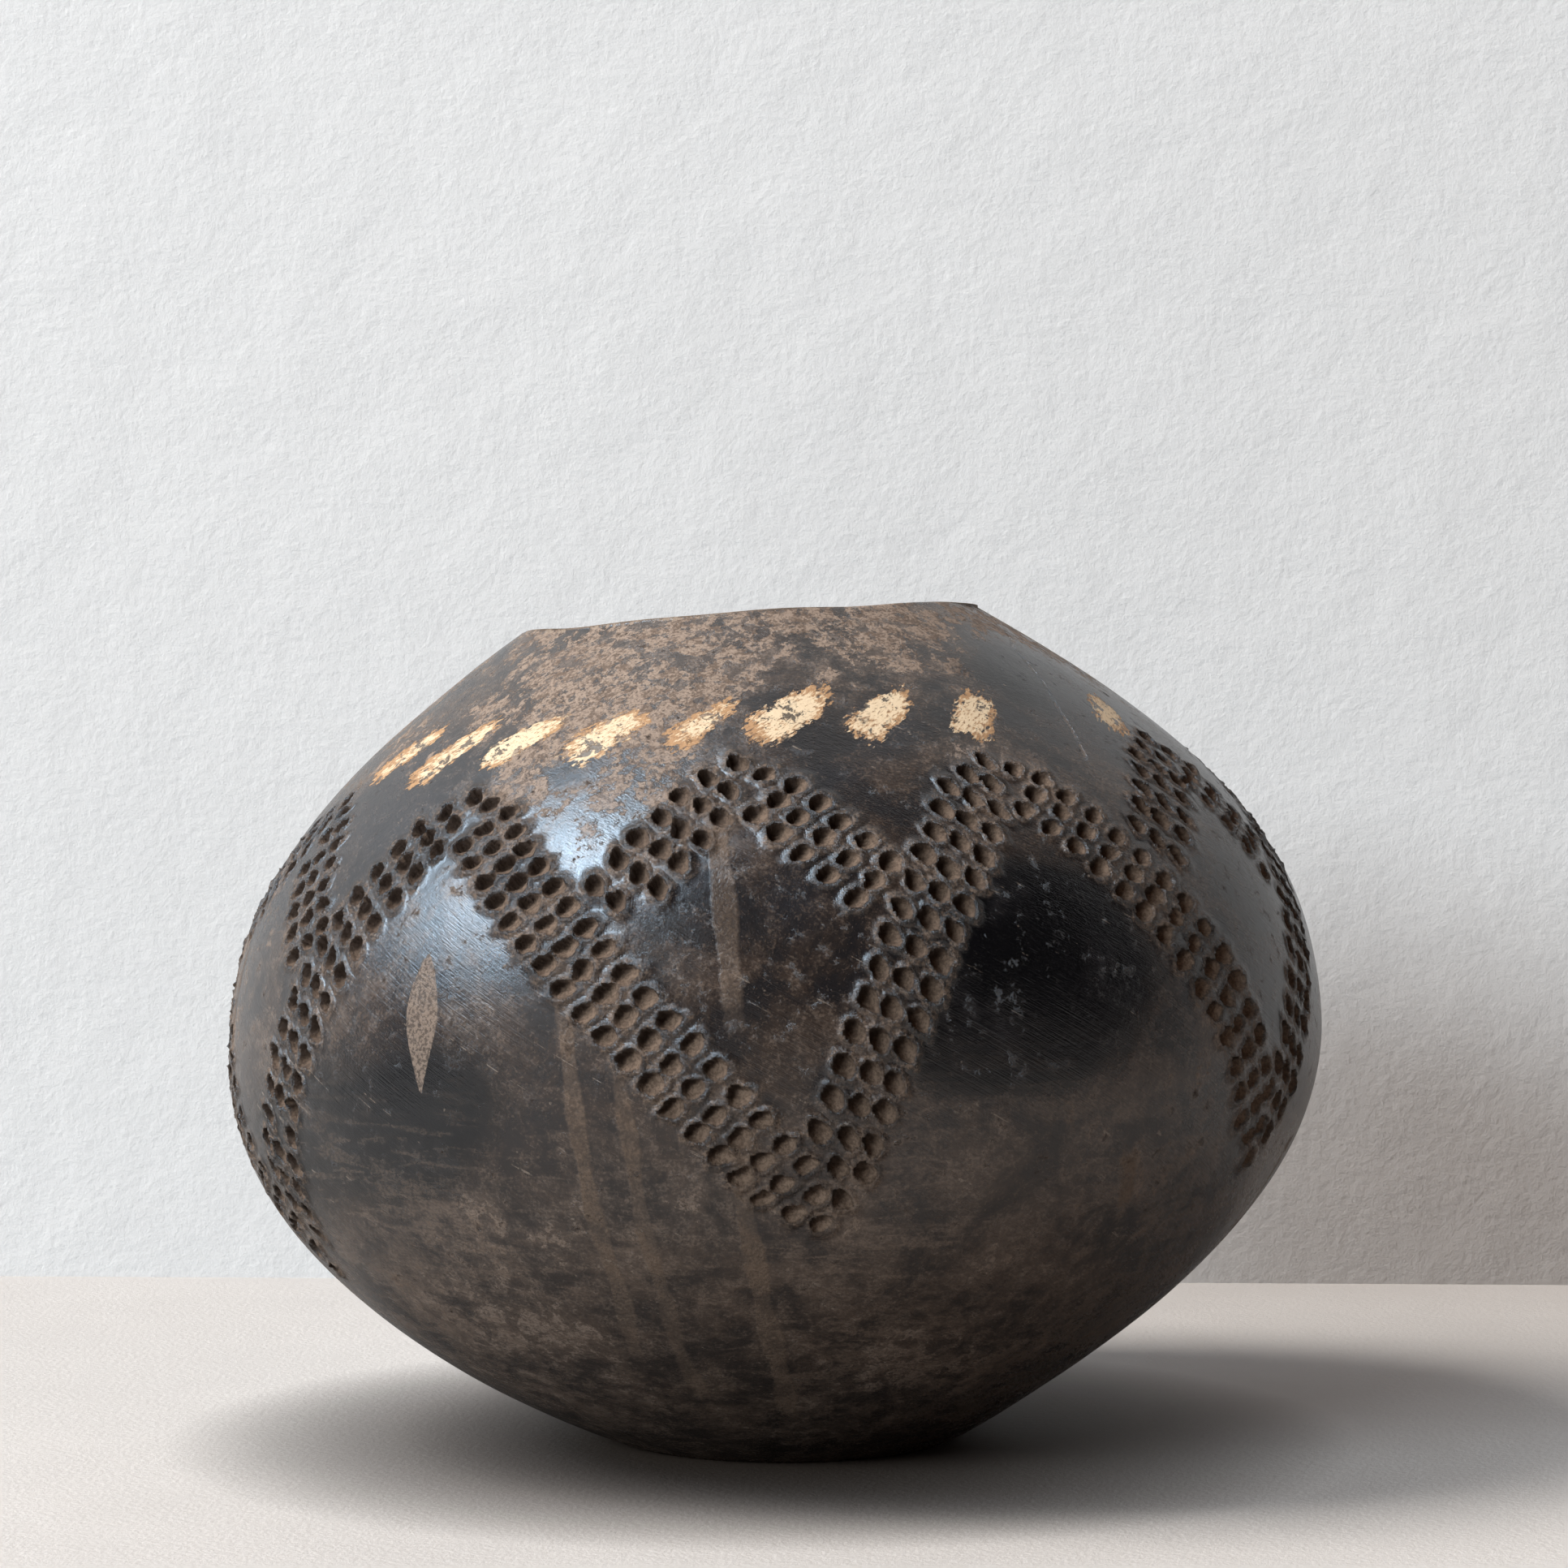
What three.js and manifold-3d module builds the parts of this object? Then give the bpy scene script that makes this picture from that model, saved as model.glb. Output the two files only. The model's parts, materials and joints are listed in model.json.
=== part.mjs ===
// A round-bellied clay beer pot, built up from thumb-thick coils on a base pad and burnished black.
// Its shoulder carries a zigzag band of stab marks, three marks wide, with a chevron over each trough.
// The pot stands on the plane z = 0, with +Z up. Bearings run from the front (-Y) to the right (+X).
import * as THREE from "three";
import { mergeVertices } from "three/addons/utils/BufferGeometryUtils.js";
import Module from "manifold-3d";

// Overall sizes of the outside, in millimetres.
const POT_HEIGHT = 256;
const FOOT_RADIUS = 52.5;
const BELLY_RADIUS = 170;
const BELLY_HEIGHT = 124;
const MOUTH_RADIUS = 70.8;

// How full the outline is: its slope at the foot and at the rim, and how far each end's slope carries.
const FOOT_SLOPE_DEG = 20;
const FOOT_PULL = 18;
const BELLY_PULL_DOWN = 67.3;
const BELLY_PULL_UP = 51;
const RIM_SLOPE_DEG = 33.6;
const RIM_PULL = 87.5;

// The wall, measured square to its outside. The rim is cut level, and its inner edge is rounded over.
const BASE_THICKNESS = 11;
const WALL_THICKNESS = 8.5;
const RIM_THICKNESS = 5;
const BASE_TAPER = 55;
const RIM_TAPER = 45;
const RIM_LAND = 4;
const LIP_WIDTH = 1.7;
const LIP_DEPTH = 2.4;

// The hand-built lean: every level tilts up towards +X, and the axis bows towards -X as the pot rises.
const LEAN_SLOPE = 0.0434;
const LEAN_GROWTH = 0.00007;
const LEAN_ONSET = 14;
const AXIS_DRIFT = -0.0042;
const AXIS_BOW = -0.000145;

// The clay courses, measured up the wall. Each is lapped down inside the one below, on a film of slip.
const PAD_EDGE = 15;
const RIM_COURSE = 26;
const COURSES = [
  "lower_coil_1", "lower_coil_2", "lower_coil_3", "belly_coil_1",
  "belly_coil_2", "shoulder_coil_1", "shoulder_coil_2", "shoulder_coil_3",
];
const LAP_DROP = 4;
const SLIP_FILM = 0.3;

// The stab marks: a blunt stick, pushed in and a little upwards.
const STAB_WIDTH = 7.6;
const STAB_HEIGHT = 7.2;
const STAB_DEPTH = 4.6;
const STAB_RISE = 1.6;
const STAB_SIDES = 4;
const LANES = 3;
const LANE_PITCH = 7.7;
const ROW_PITCH = 9.2;
const CLOSEST_STABS = 6.8;
const STAB_WANDER = 0.5;
const STAB_SPREAD = 0.1;

// The band's turning points, along the wall: troughs up from the foot, peaks and tips down from the rim.
// A trough's legs bend towards its own upright: first the one to its left, then the one to its right.
const TROUGHS = [
  { bearing: -66, up: 115, bends: [0.3, 0.44] }, { bearing: 4.5, up: 136.5, bends: [0.18, 0.66] },
  { bearing: 59.2, up: 142.5, bends: [0.38, 0.5] }, { bearing: 117, up: 133, bends: [0.35, 0.45] },
  { bearing: 175, up: 138, bends: [0.25, 0.5] }, { bearing: 233, up: 128, bends: [0.4, 0.3] },
];
const PEAKS = [
  { bearing: -37.8, down: 81 }, { bearing: 29.3, down: 77.5 }, { bearing: 92, down: 79 },
  { bearing: 147, down: 82 }, { bearing: 204, down: 78 }, { bearing: 262, down: 80 },
];
// A chevron's feet stand on the zigzag, at the stated distances down from the rim.
const CHEVRONS = [
  { bearing: -69.5, down: 80, leftFoot: 138, rightFoot: 144 },
  { bearing: -2.5, down: 73.5, leftFoot: 134, rightFoot: 131 },
  { bearing: 64.9, down: 72.5, leftFoot: 124, rightFoot: 140 },
  { bearing: 119, down: 76, leftFoot: 134, rightFoot: 136 },
  { bearing: 176, down: 74, leftFoot: 130, rightFoot: 138 },
  { bearing: 234, down: 75, leftFoot: 136, rightFoot: 132 },
];

// Fineness of the facets.
const SIDES_ROUND = 36;
const STEPS_OUTSIDE = 2;
const STEPS_INSIDE = 1;

const wasm = await Module();
wasm.setup();

const radians = THREE.MathUtils.degToRad;
const degrees = THREE.MathUtils.radToDeg;
const { smoothstep, clamp, lerp, euclideanModulo } = THREE.MathUtils;

// The outside as half an outline, from the foot's edge to the mouth: x is the radius and y the height.
function makeOutline() {
  const foot = new THREE.Vector2(FOOT_RADIUS, 0);
  const belly = new THREE.Vector2(BELLY_RADIUS, BELLY_HEIGHT);
  const mouth = new THREE.Vector2(MOUTH_RADIUS, POT_HEIGHT);
  const footSlope = radians(FOOT_SLOPE_DEG);
  const rimSlope = radians(RIM_SLOPE_DEG);
  const outline = new THREE.CurvePath();
  outline.add(new THREE.CubicBezierCurve(
    foot,
    new THREE.Vector2(foot.x + FOOT_PULL * Math.cos(footSlope), FOOT_PULL * Math.sin(footSlope)),
    new THREE.Vector2(belly.x, belly.y - BELLY_PULL_DOWN),
    belly,
  ));
  outline.add(new THREE.CubicBezierCurve(
    belly,
    new THREE.Vector2(belly.x, belly.y + BELLY_PULL_UP),
    new THREE.Vector2(mouth.x + RIM_PULL * Math.cos(rimSlope), mouth.y - RIM_PULL * Math.sin(rimSlope)),
    mouth,
  ));
  return outline;
}

const outline = makeOutline();
const WALL_LENGTH = outline.getLength();

// A point of the half outline, at a distance up the wall from the foot's edge and a depth square to it.
function wallPoint(up, depth = 0) {
  const share = clamp(up / WALL_LENGTH, 0, 1);
  const step = 0.25 / WALL_LENGTH;
  const ahead = outline.getPoint(Math.min(1, share + step));
  const behind = outline.getPoint(Math.max(0, share - step));
  const along = ahead.sub(behind).normalize();
  const inward = new THREE.Vector2(-along.y, along.x);
  return outline.getPoint(share).addScaledVector(inward, depth);
}

function thicknessAt(up) {
  const nearBase = 1 - smoothstep(up, 0, BASE_TAPER);
  const nearRim = smoothstep(up, WALL_LENGTH - RIM_TAPER, WALL_LENGTH);
  return lerp(lerp(WALL_THICKNESS, BASE_THICKNESS, nearBase), RIM_THICKNESS, nearRim);
}

// Even steps up one face of the wall between two distances, both included. The inside steps are lapped down.
function stepsUp(from, to, count) {
  return Array.from({ length: count + 1 }, (_, i) => lerp(from, to, i / count));
}
const outsideSteps = (from, to) => stepsUp(from, to, STEPS_OUTSIDE);
const insideSteps = (from, to) => stepsUp(from - LAP_DROP, to - LAP_DROP, STEPS_INSIDE);

// A lapped course before it is formed: a straight wall on a drum, x = drum radius less depth, y = up.
const DRUM_RADIUS = BELLY_RADIUS;
function courseOutline(from, to) {
  const bottom = from + SLIP_FILM / 2;
  const top = to - SLIP_FILM / 2;
  const outside = outsideSteps(bottom, top).map((up) => new THREE.Vector2(DRUM_RADIUS, up));
  const inside = insideSteps(bottom, top).map((up) => new THREE.Vector2(DRUM_RADIUS - thicknessAt(up), up));
  return [...outside, ...inside.reverse(), outside[0]];
}

// The pad: flat underneath, its edge turned up to carry the first coil.
function padOutline() {
  const top = PAD_EDGE - SLIP_FILM / 2;
  const outside = outsideSteps(0, top).map((up) => wallPoint(up));
  const seat = wallPoint(top - LAP_DROP, thicknessAt(top - LAP_DROP));
  return [new THREE.Vector2(0, 0), ...outside, seat, new THREE.Vector2(0, BASE_THICKNESS)];
}

// The last course, where the wall thins and ends in a level land.
function rimOutline(from) {
  const bottom = from + SLIP_FILM / 2;
  const outside = outsideSteps(bottom, WALL_LENGTH).map((up) => wallPoint(up));
  const inside = insideSteps(bottom, WALL_LENGTH).map((up) => wallPoint(up, thicknessAt(up)));
  const landEdge = new THREE.Vector2(MOUTH_RADIUS - RIM_LAND, POT_HEIGHT);
  const lip = new THREE.Vector2(landEdge.x - LIP_WIDTH, landEdge.y - LIP_DEPTH);
  return [...outside, landEdge, lip, ...inside.reverse(), outside[0]];
}

// Turning an outline about the upright axis. Its first point faces the front.
function turned(points) {
  return new THREE.LatheGeometry(points, SIDES_ROUND).rotateX(Math.PI / 2);
}

function toSolid(geometry) {
  const bare = new THREE.BufferGeometry();
  const source = geometry.index ? geometry.toNonIndexed() : geometry;
  bare.setAttribute("position", source.getAttribute("position"));
  const merged = mergeVertices(bare, 1e-4);
  return new wasm.Manifold(new wasm.Mesh({
    numProp: 3,
    vertProperties: merged.getAttribute("position").array,
    triVerts: new Uint32Array(merged.index.array),
  }));
}

function toGeometry(solid) {
  const mesh = solid.getMesh();
  const geometry = new THREE.BufferGeometry();
  geometry.setAttribute("position", new THREE.BufferAttribute(mesh.vertProperties, 3));
  geometry.setIndex(new THREE.BufferAttribute(mesh.triVerts, 1));
  return geometry;
}

// Moves each corner of a geometry to where the given rule puts it.
function reshape(geometry, rule) {
  const corners = geometry.getAttribute("position");
  const corner = new THREE.Vector3();
  for (let i = 0; i < corners.count; i++) {
    corner.fromBufferAttribute(corners, i);
    corners.setXYZ(i, ...rule(corner));
  }
  return geometry;
}

const roundAxis = (bearing, radius, height) => [
  radius * Math.sin(bearing),
  -radius * Math.cos(bearing),
  height,
];

// How far out a flat facet lies at a bearing, as a share of its corners' radius.
function chordShare(bearing) {
  const facet = (2 * Math.PI) / SIDES_ROUND;
  const fromMiddle = euclideanModulo(bearing, facet) - facet / 2;
  return Math.cos(facet / 2) / Math.cos(fromMiddle);
}

// Forms a straight wall on the drum into the pot's outline, flat facet to flat facet.
function formed({ x, y, z }) {
  const bearing = Math.atan2(x, -y);
  const share = chordShare(bearing);
  const place = wallPoint(z, DRUM_RADIUS - Math.hypot(x, y) / share);
  return roundAxis(bearing, place.x * share, place.y);
}

// The whole pot's lean, which leaves the underside level and every joint seated.
function leant({ x, y, z }) {
  const tilt = LEAN_SLOPE * (1 - Math.exp(-z / LEAN_ONSET)) + LEAN_GROWTH * z;
  return [x + AXIS_DRIFT * z + AXIS_BOW * z * z, y, z + x * tilt];
}

// A repeatable scatter from -1 to 1, for the hand's unevenness.
function scatter(index, channel) {
  const wave = Math.sin(index * 12.9898 + channel * 78.233) * 43758.5453;
  return 2 * (wave - Math.floor(wave)) - 1;
}

// The distance between two marks along the wall, the short way round.
function between(a, b) {
  const turn = Math.abs(((a.bearing - b.bearing + 540) % 360) - 180);
  return Math.hypot(radians(turn) * wallPoint(a.up).x, a.up - b.up);
}

// How far a leg that bends has come towards its far end, as a share, at a share of its height.
const bent = (share, bend) => share - bend * share * (1 - share);

// Adds rows of marks between two turning points: one mark at each end, and up to LANES in the rows between.
// A mark that would run into an earlier one is left out.
function addLeg(stabs, from, to, bend) {
  const perDegree = radians(wallPoint((from.up + to.up) / 2).x);
  const flat = (bearing, up) => new THREE.Vector2(bearing * perDegree, up);
  const control = flat(lerp(from.bearing, to.bearing, (1 - bend) / 2), (from.up + to.up) / 2);
  const leg = new THREE.QuadraticBezierCurve(flat(from.bearing, from.up), control, flat(to.bearing, to.up));
  const rows = Math.round(leg.getLength() / ROW_PITCH);
  for (let row = 0; row <= rows; row++) {
    const middle = leg.getPointAt(row / rows);
    const along = leg.getTangentAt(row / rows);
    const lanes = Math.min(LANES, 1 + row, 1 + rows - row);
    for (let lane = 0; lane < lanes; lane++) {
      const index = stabs.length;
      const side = (lane - (lanes - 1) / 2) * LANE_PITCH;
      const across = STAB_WANDER * scatter(index, 1) - side * along.y;
      const up = middle.y + side * along.x + STAB_WANDER * scatter(index, 2);
      const bearing = middle.x / perDegree + degrees(across / wallPoint(up).x);
      const stab = { bearing, up, index };
      if (!stabs.some((other) => between(stab, other) < CLOSEST_STABS)) stabs.push(stab);
    }
  }
}

// The zigzag's legs come first, then the chevrons between its peaks, whose feet end on the legs.
function makeStabs() {
  const stabs = [];
  const turn = ({ up, down, ...rest }) => ({ ...rest, up: up ?? WALL_LENGTH - down });
  const troughs = TROUGHS.map(turn);
  const after = PEAKS.map(turn);
  const last = after.at(-1);
  const before = [{ ...last, bearing: last.bearing - 360 }, ...after.slice(0, -1)];
  troughs.forEach((trough, i) => {
    addLeg(stabs, trough, before[i], trough.bends[0]);
    addLeg(stabs, trough, after[i], trough.bends[1]);
  });
  CHEVRONS.map(turn).forEach((chevron, i) => {
    const trough = troughs[i];
    const footOn = (peak, down, bend) => {
      const up = WALL_LENGTH - down;
      const share = bent((up - trough.up) / (peak.up - trough.up), bend);
      return { bearing: lerp(trough.bearing, peak.bearing, share), up };
    };
    addLeg(stabs, chevron, footOn(before[i], chevron.leftFoot, trough.bends[0]), 0);
    addLeg(stabs, chevron, footOn(after[i], chevron.rightFoot, trough.bends[1]), 0);
  });
  return stabs;
}

// The space that one push of the stick takes, on the drum: a blunt point, deepest towards its upper side.
function stabCutter({ bearing, up, index }) {
  const size = 1 + STAB_SPREAD * scatter(index, 3);
  const proud = STAB_DEPTH / 3;
  const reach = STAB_DEPTH + proud;
  const widening = size * (reach / STAB_DEPTH);
  const cone = new THREE.ConeGeometry(0.5, reach, STAB_SIDES).rotateY(0.4 * scatter(index, 4));
  const radius = wallPoint(up).x;
  const facing = radians(bearing);
  return toSolid(reshape(cone, ({ x, y, z }) => {
    const pushed = y + reach / 2;
    const around = x * STAB_WIDTH * widening;
    const along = z * STAB_HEIGHT * widening + STAB_RISE * (pushed / reach);
    const out = (DRUM_RADIUS + proud - pushed) * chordShare(facing);
    return roundAxis(facing + around / radius, out, up + along);
  }));
}

// One course on the drum, less the stab marks that reach it.
function stabbedCourse(stabs, from, to) {
  const clay = toSolid(turned(courseOutline(from, to)));
  const reaching = stabs.filter(({ up }) => up > from - LAP_DROP - STAB_HEIGHT && up < to + STAB_HEIGHT);
  if (!reaching.length) return clay;
  return clay.subtract(wasm.Manifold.union(reaching.map(stabCutter)));
}

const clay = {
  scuffed: new THREE.MeshStandardMaterial({ color: 0x3d322b, roughness: 0.5, metalness: 0 }),
  burnished: new THREE.MeshStandardMaterial({ color: 0x2a2625, roughness: 0.38, metalness: 0 }),
  dusty: new THREE.MeshStandardMaterial({ color: 0x5a4a3f, roughness: 0.62, metalness: 0 }),
};

function clayMesh(name, geometry, material) {
  const mesh = new THREE.Mesh(reshape(geometry, leant), material);
  mesh.geometry.computeVertexNormals();
  mesh.name = name;
  return mesh;
}

const pot = new THREE.Group();
const stabs = makeStabs();
const rimFrom = WALL_LENGTH - RIM_COURSE;
const courseHeight = (rimFrom - PAD_EDGE) / COURSES.length;

pot.add(clayMesh("base_pad", toGeometry(toSolid(turned(padOutline()))), clay.scuffed));
COURSES.forEach((name, i) => {
  const from = PAD_EDGE + i * courseHeight;
  const wall = reshape(toGeometry(stabbedCourse(stabs, from, from + courseHeight)), formed);
  pot.add(clayMesh(name, wall, name.startsWith("lower") ? clay.scuffed : clay.burnished));
});
pot.add(clayMesh("rim_coil", toGeometry(toSolid(turned(rimOutline(rimFrom)))), clay.dusty));
console.log(`wall ${WALL_LENGTH.toFixed(1)} mm up from the foot, ${stabs.length} stab marks`);

export default pot;
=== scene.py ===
"""A round-bellied clay beer pot: coiled by hand, burnished, smoked black and stabbed with a zigzag band.

Each clay course is traced as a profile, spun round the pot's axis, and then given the hand's unevenness,
the stab marks and the pot's lean. Sizes are in metres. Bearings run from the front (-Y) to the right (+X).
"""

import json
import math

import bpy
import numpy as np
from bpy.props import FloatProperty, FloatVectorProperty, PointerProperty
from bpy.types import Operator, Panel, PropertyGroup
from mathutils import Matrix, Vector


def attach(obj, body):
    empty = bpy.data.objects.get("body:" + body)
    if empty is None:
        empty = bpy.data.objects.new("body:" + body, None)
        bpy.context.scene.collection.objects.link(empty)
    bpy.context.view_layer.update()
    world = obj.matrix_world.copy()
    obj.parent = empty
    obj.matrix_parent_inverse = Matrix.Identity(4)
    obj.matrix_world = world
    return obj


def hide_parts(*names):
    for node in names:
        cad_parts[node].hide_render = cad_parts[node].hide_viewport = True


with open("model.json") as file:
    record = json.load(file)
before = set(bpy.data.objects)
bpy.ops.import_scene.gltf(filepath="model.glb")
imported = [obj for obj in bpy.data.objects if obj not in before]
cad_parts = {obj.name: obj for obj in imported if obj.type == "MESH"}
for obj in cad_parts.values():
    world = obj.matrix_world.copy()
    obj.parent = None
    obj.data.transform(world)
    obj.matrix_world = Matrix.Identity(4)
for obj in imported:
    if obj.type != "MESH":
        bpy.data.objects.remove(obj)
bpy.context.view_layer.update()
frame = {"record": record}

bl_info = {
    "name": "Stabbed Clay Pot",
    "version": (1, 0, 0),
    "blender": (4, 5, 0),
    "location": "View3D > Sidebar > Clay Pot",
    "description": "Builds a burnished, coil-built clay pot with a stabbed zigzag band",
    "category": "Add Mesh",
}

# How full the outline is: its slope at the foot and at the rim, and how far each end's slope carries.
FOOT_SLOPE = math.radians(20)
FOOT_PULL = 0.018
BELLY_PULL_DOWN = 0.0673
BELLY_PULL_UP = 0.051
RIM_SLOPE = math.radians(33.6)
RIM_PULL = 0.0875

# The wall thickens towards the base and thins towards the rim, whose land is level and whose edges are rubbed
# round. The rim's waviness begins and is full at two depths below the mouth. The foot is slightly hollow.
BASE_TAPER = 0.055
RIM_TAPER = 0.045
RIM_LAND = 0.004
RIM_ROUND = 0.0009
RIM_INNER_ROUND = 0.003
RIM_WAVES = (0.012, 0.0005)
FOOT_HOLLOW = 0.0005

# The hand-built lean: every level tilts up towards +X, and the axis bows towards -X as the pot rises.
LEAN_SLOPE = 0.0434
LEAN_GROWTH = 0.07
LEAN_ONSET = 0.014
AXIS_DRIFT = -0.0042
AXIS_BOW = -0.145

# The clay courses, measured up the wall, and the joints between them.
PAD_EDGE = 0.015
RIM_COURSE = 0.026
COURSES = (
    "lower_coil_1", "lower_coil_2", "lower_coil_3", "belly_coil_1",
    "belly_coil_2", "shoulder_coil_1", "shoulder_coil_2", "shoulder_coil_3",
)
STABBED = ("lower_coil_3", "belly_coil_1", "belly_coil_2", "shoulder_coil_1", "shoulder_coil_2")
LAP_DROP = 0.004
JOINT_DEPTH = 0.006
JOINT_SET_BACK = 0.0001

# The band's turning points, with distances up from the foot for troughs and down from the rim for the rest.
# A trough's two legs, left and right, bend towards its own upright.
TROUGHS = (
    (-66, 0.115, (0.3, 0.44)), (4.5, 0.1365, (0.18, 0.66)), (59.2, 0.1425, (0.38, 0.5)),
    (117, 0.133, (0.35, 0.45)), (175, 0.138, (0.25, 0.5)), (233, 0.128, (0.4, 0.3)),
)
PEAKS = ((-37.8, 0.081), (29.3, 0.0775), (92, 0.079), (147, 0.082), (204, 0.078), (262, 0.08))
CHEVRONS = (
    (-69.5, 0.08, 0.138, 0.144), (-2.5, 0.0735, 0.134, 0.131), (64.9, 0.0725, 0.124, 0.14),
    (119, 0.076, 0.134, 0.136), (176, 0.074, 0.13, 0.138), (234, 0.075, 0.136, 0.132),
)
CLOSEST_STABS = 0.0068
STAB_WANDER = 0.0005
LANES = 3

# The clay's matt parts and its burnish.
MATT_ROUGHNESS = 0.9
MATT_SPECULAR = 0.2
BURNISH_IOR = 1.6

# How much of its colour the stage keeps for the light that it throws back, and where the burnish mirrors it.
BOUNCE = 0.4
FLOOR_MIRRORED = 0.7
BACKDROP_MIRRORED = 0.85

# The dark shade painted on the floor in the narrow gap round the foot: its colour, how far ambient occlusion
# looks for the pot, and between which distances from the axis it ends.
CONTACT_SHADE = (0.06, 0.045, 0.035)
CONTACT_REACH = 0.075
CONTACT_END = (0.15, 0.3)

# The soft light all round, which the burnish mirrors cooler and dimmer.
FILL_COLOUR = (1, 0.57, 0.35)
MIRRORED_FILL = (0.85, 0.85, 1)
MIRRORED_FILL_SHARE = 0.3

# The stage: a square floor and backdrop, the backdrop's turn, and the level that the lamps point at.
STAGE_SIZE = 12
BACKDROP_TURN = math.radians(-2.4)
LAMP_AIM = Vector((0, 0, 0.12))

# Fineness: columns round the pot, in equal sectors, and rows up a course.
FINE_COLUMNS = 1440
PLAIN_COLUMNS = 720
SECTORS = 24
FINE_ROWS = 56
PLAIN_ROWS = 28
INSIDE_ROWS = 8


def smooth(value, low, high):
    share = np.clip((np.asarray(value, float) - low) / (high - low), 0, 1)
    return share * share * (3 - 2 * share)


def mix(a, b, share):
    return a + (b - a) * share


def bent(start, control, end, t):
    """Points on a quadratic curve."""
    return (1 - t) ** 2 * start + 2 * t * (1 - t) * control + t * t * end


def run_along(line):
    """The distance of each of a line's points from its start."""
    return np.concatenate([[0], np.cumsum(np.hypot(*np.diff(line, axis=0).T))])


def scatter(index, channel):
    """A repeatable scatter from -1 to 1."""
    wave = np.sin(index * 12.9898 + channel * 78.233) * 43758.5453
    return 2 * (wave - np.floor(wave)) - 1


class Wall:
    """The pot's half outline, and what lies square to it."""

    def __init__(self, shape):
        self.shape = shape
        foot = np.array((shape.foot_radius, 0.0))
        belly = np.array((shape.belly_radius, shape.belly_height))
        mouth = np.array((shape.mouth_radius, shape.pot_height))
        pull_foot = FOOT_PULL * np.array((math.cos(FOOT_SLOPE), math.sin(FOOT_SLOPE)))
        pull_rim = RIM_PULL * np.array((math.cos(RIM_SLOPE), -math.sin(RIM_SLOPE)))
        lower = self.curve(foot, foot + pull_foot, belly - (0, BELLY_PULL_DOWN), belly)
        upper = self.curve(belly, belly + (0, BELLY_PULL_UP), mouth + pull_rim, mouth)
        self.line = np.concatenate([lower, upper[1:]])
        self.run = run_along(self.line)
        self.length = self.run[-1]
        self.course = (self.length - RIM_COURSE - PAD_EDGE) / len(COURSES)

    @staticmethod
    def curve(a, b, c, d):
        t = np.linspace(0, 1, 4001)[:, None]
        return (1 - t) ** 3 * a + 3 * (1 - t) ** 2 * t * b + 3 * (1 - t) * t ** 2 * c + t ** 3 * d

    def point(self, up):
        return np.stack([np.interp(up, self.run, self.line[:, axis]) for axis in (0, 1)], -1)

    def radius(self, up):
        return np.interp(up, self.run, self.line[:, 0])

    def outward(self, up):
        step = 0.0005
        along = self.point(np.minimum(up + step, self.length)) - self.point(np.maximum(up - step, 0))
        along /= np.linalg.norm(along, axis=-1, keepdims=True)
        return np.stack([along[..., 1], -along[..., 0]], -1)

    def inside(self, up, depth):
        up = np.asarray(up, float)
        return self.point(up) - self.outward(up) * np.asarray(depth)[..., None]

    def thickness(self, up):
        shape = self.shape
        near_base = 1 - smooth(up, 0, BASE_TAPER)
        near_rim = smooth(up, self.length - RIM_TAPER, self.length)
        wall = mix(shape.wall_thickness, shape.base_thickness, near_base)
        return mix(wall, shape.rim_thickness, near_rim)


def leant(points):
    """Leans the upright pot, as it was built."""
    x, y, z = points.T
    tilt = LEAN_SLOPE * (1 - np.exp(-z / LEAN_ONSET)) + LEAN_GROWTH * z
    return np.stack([x + AXIS_DRIFT * z + AXIS_BOW * z * z, y, z + x * tilt], -1)


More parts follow.
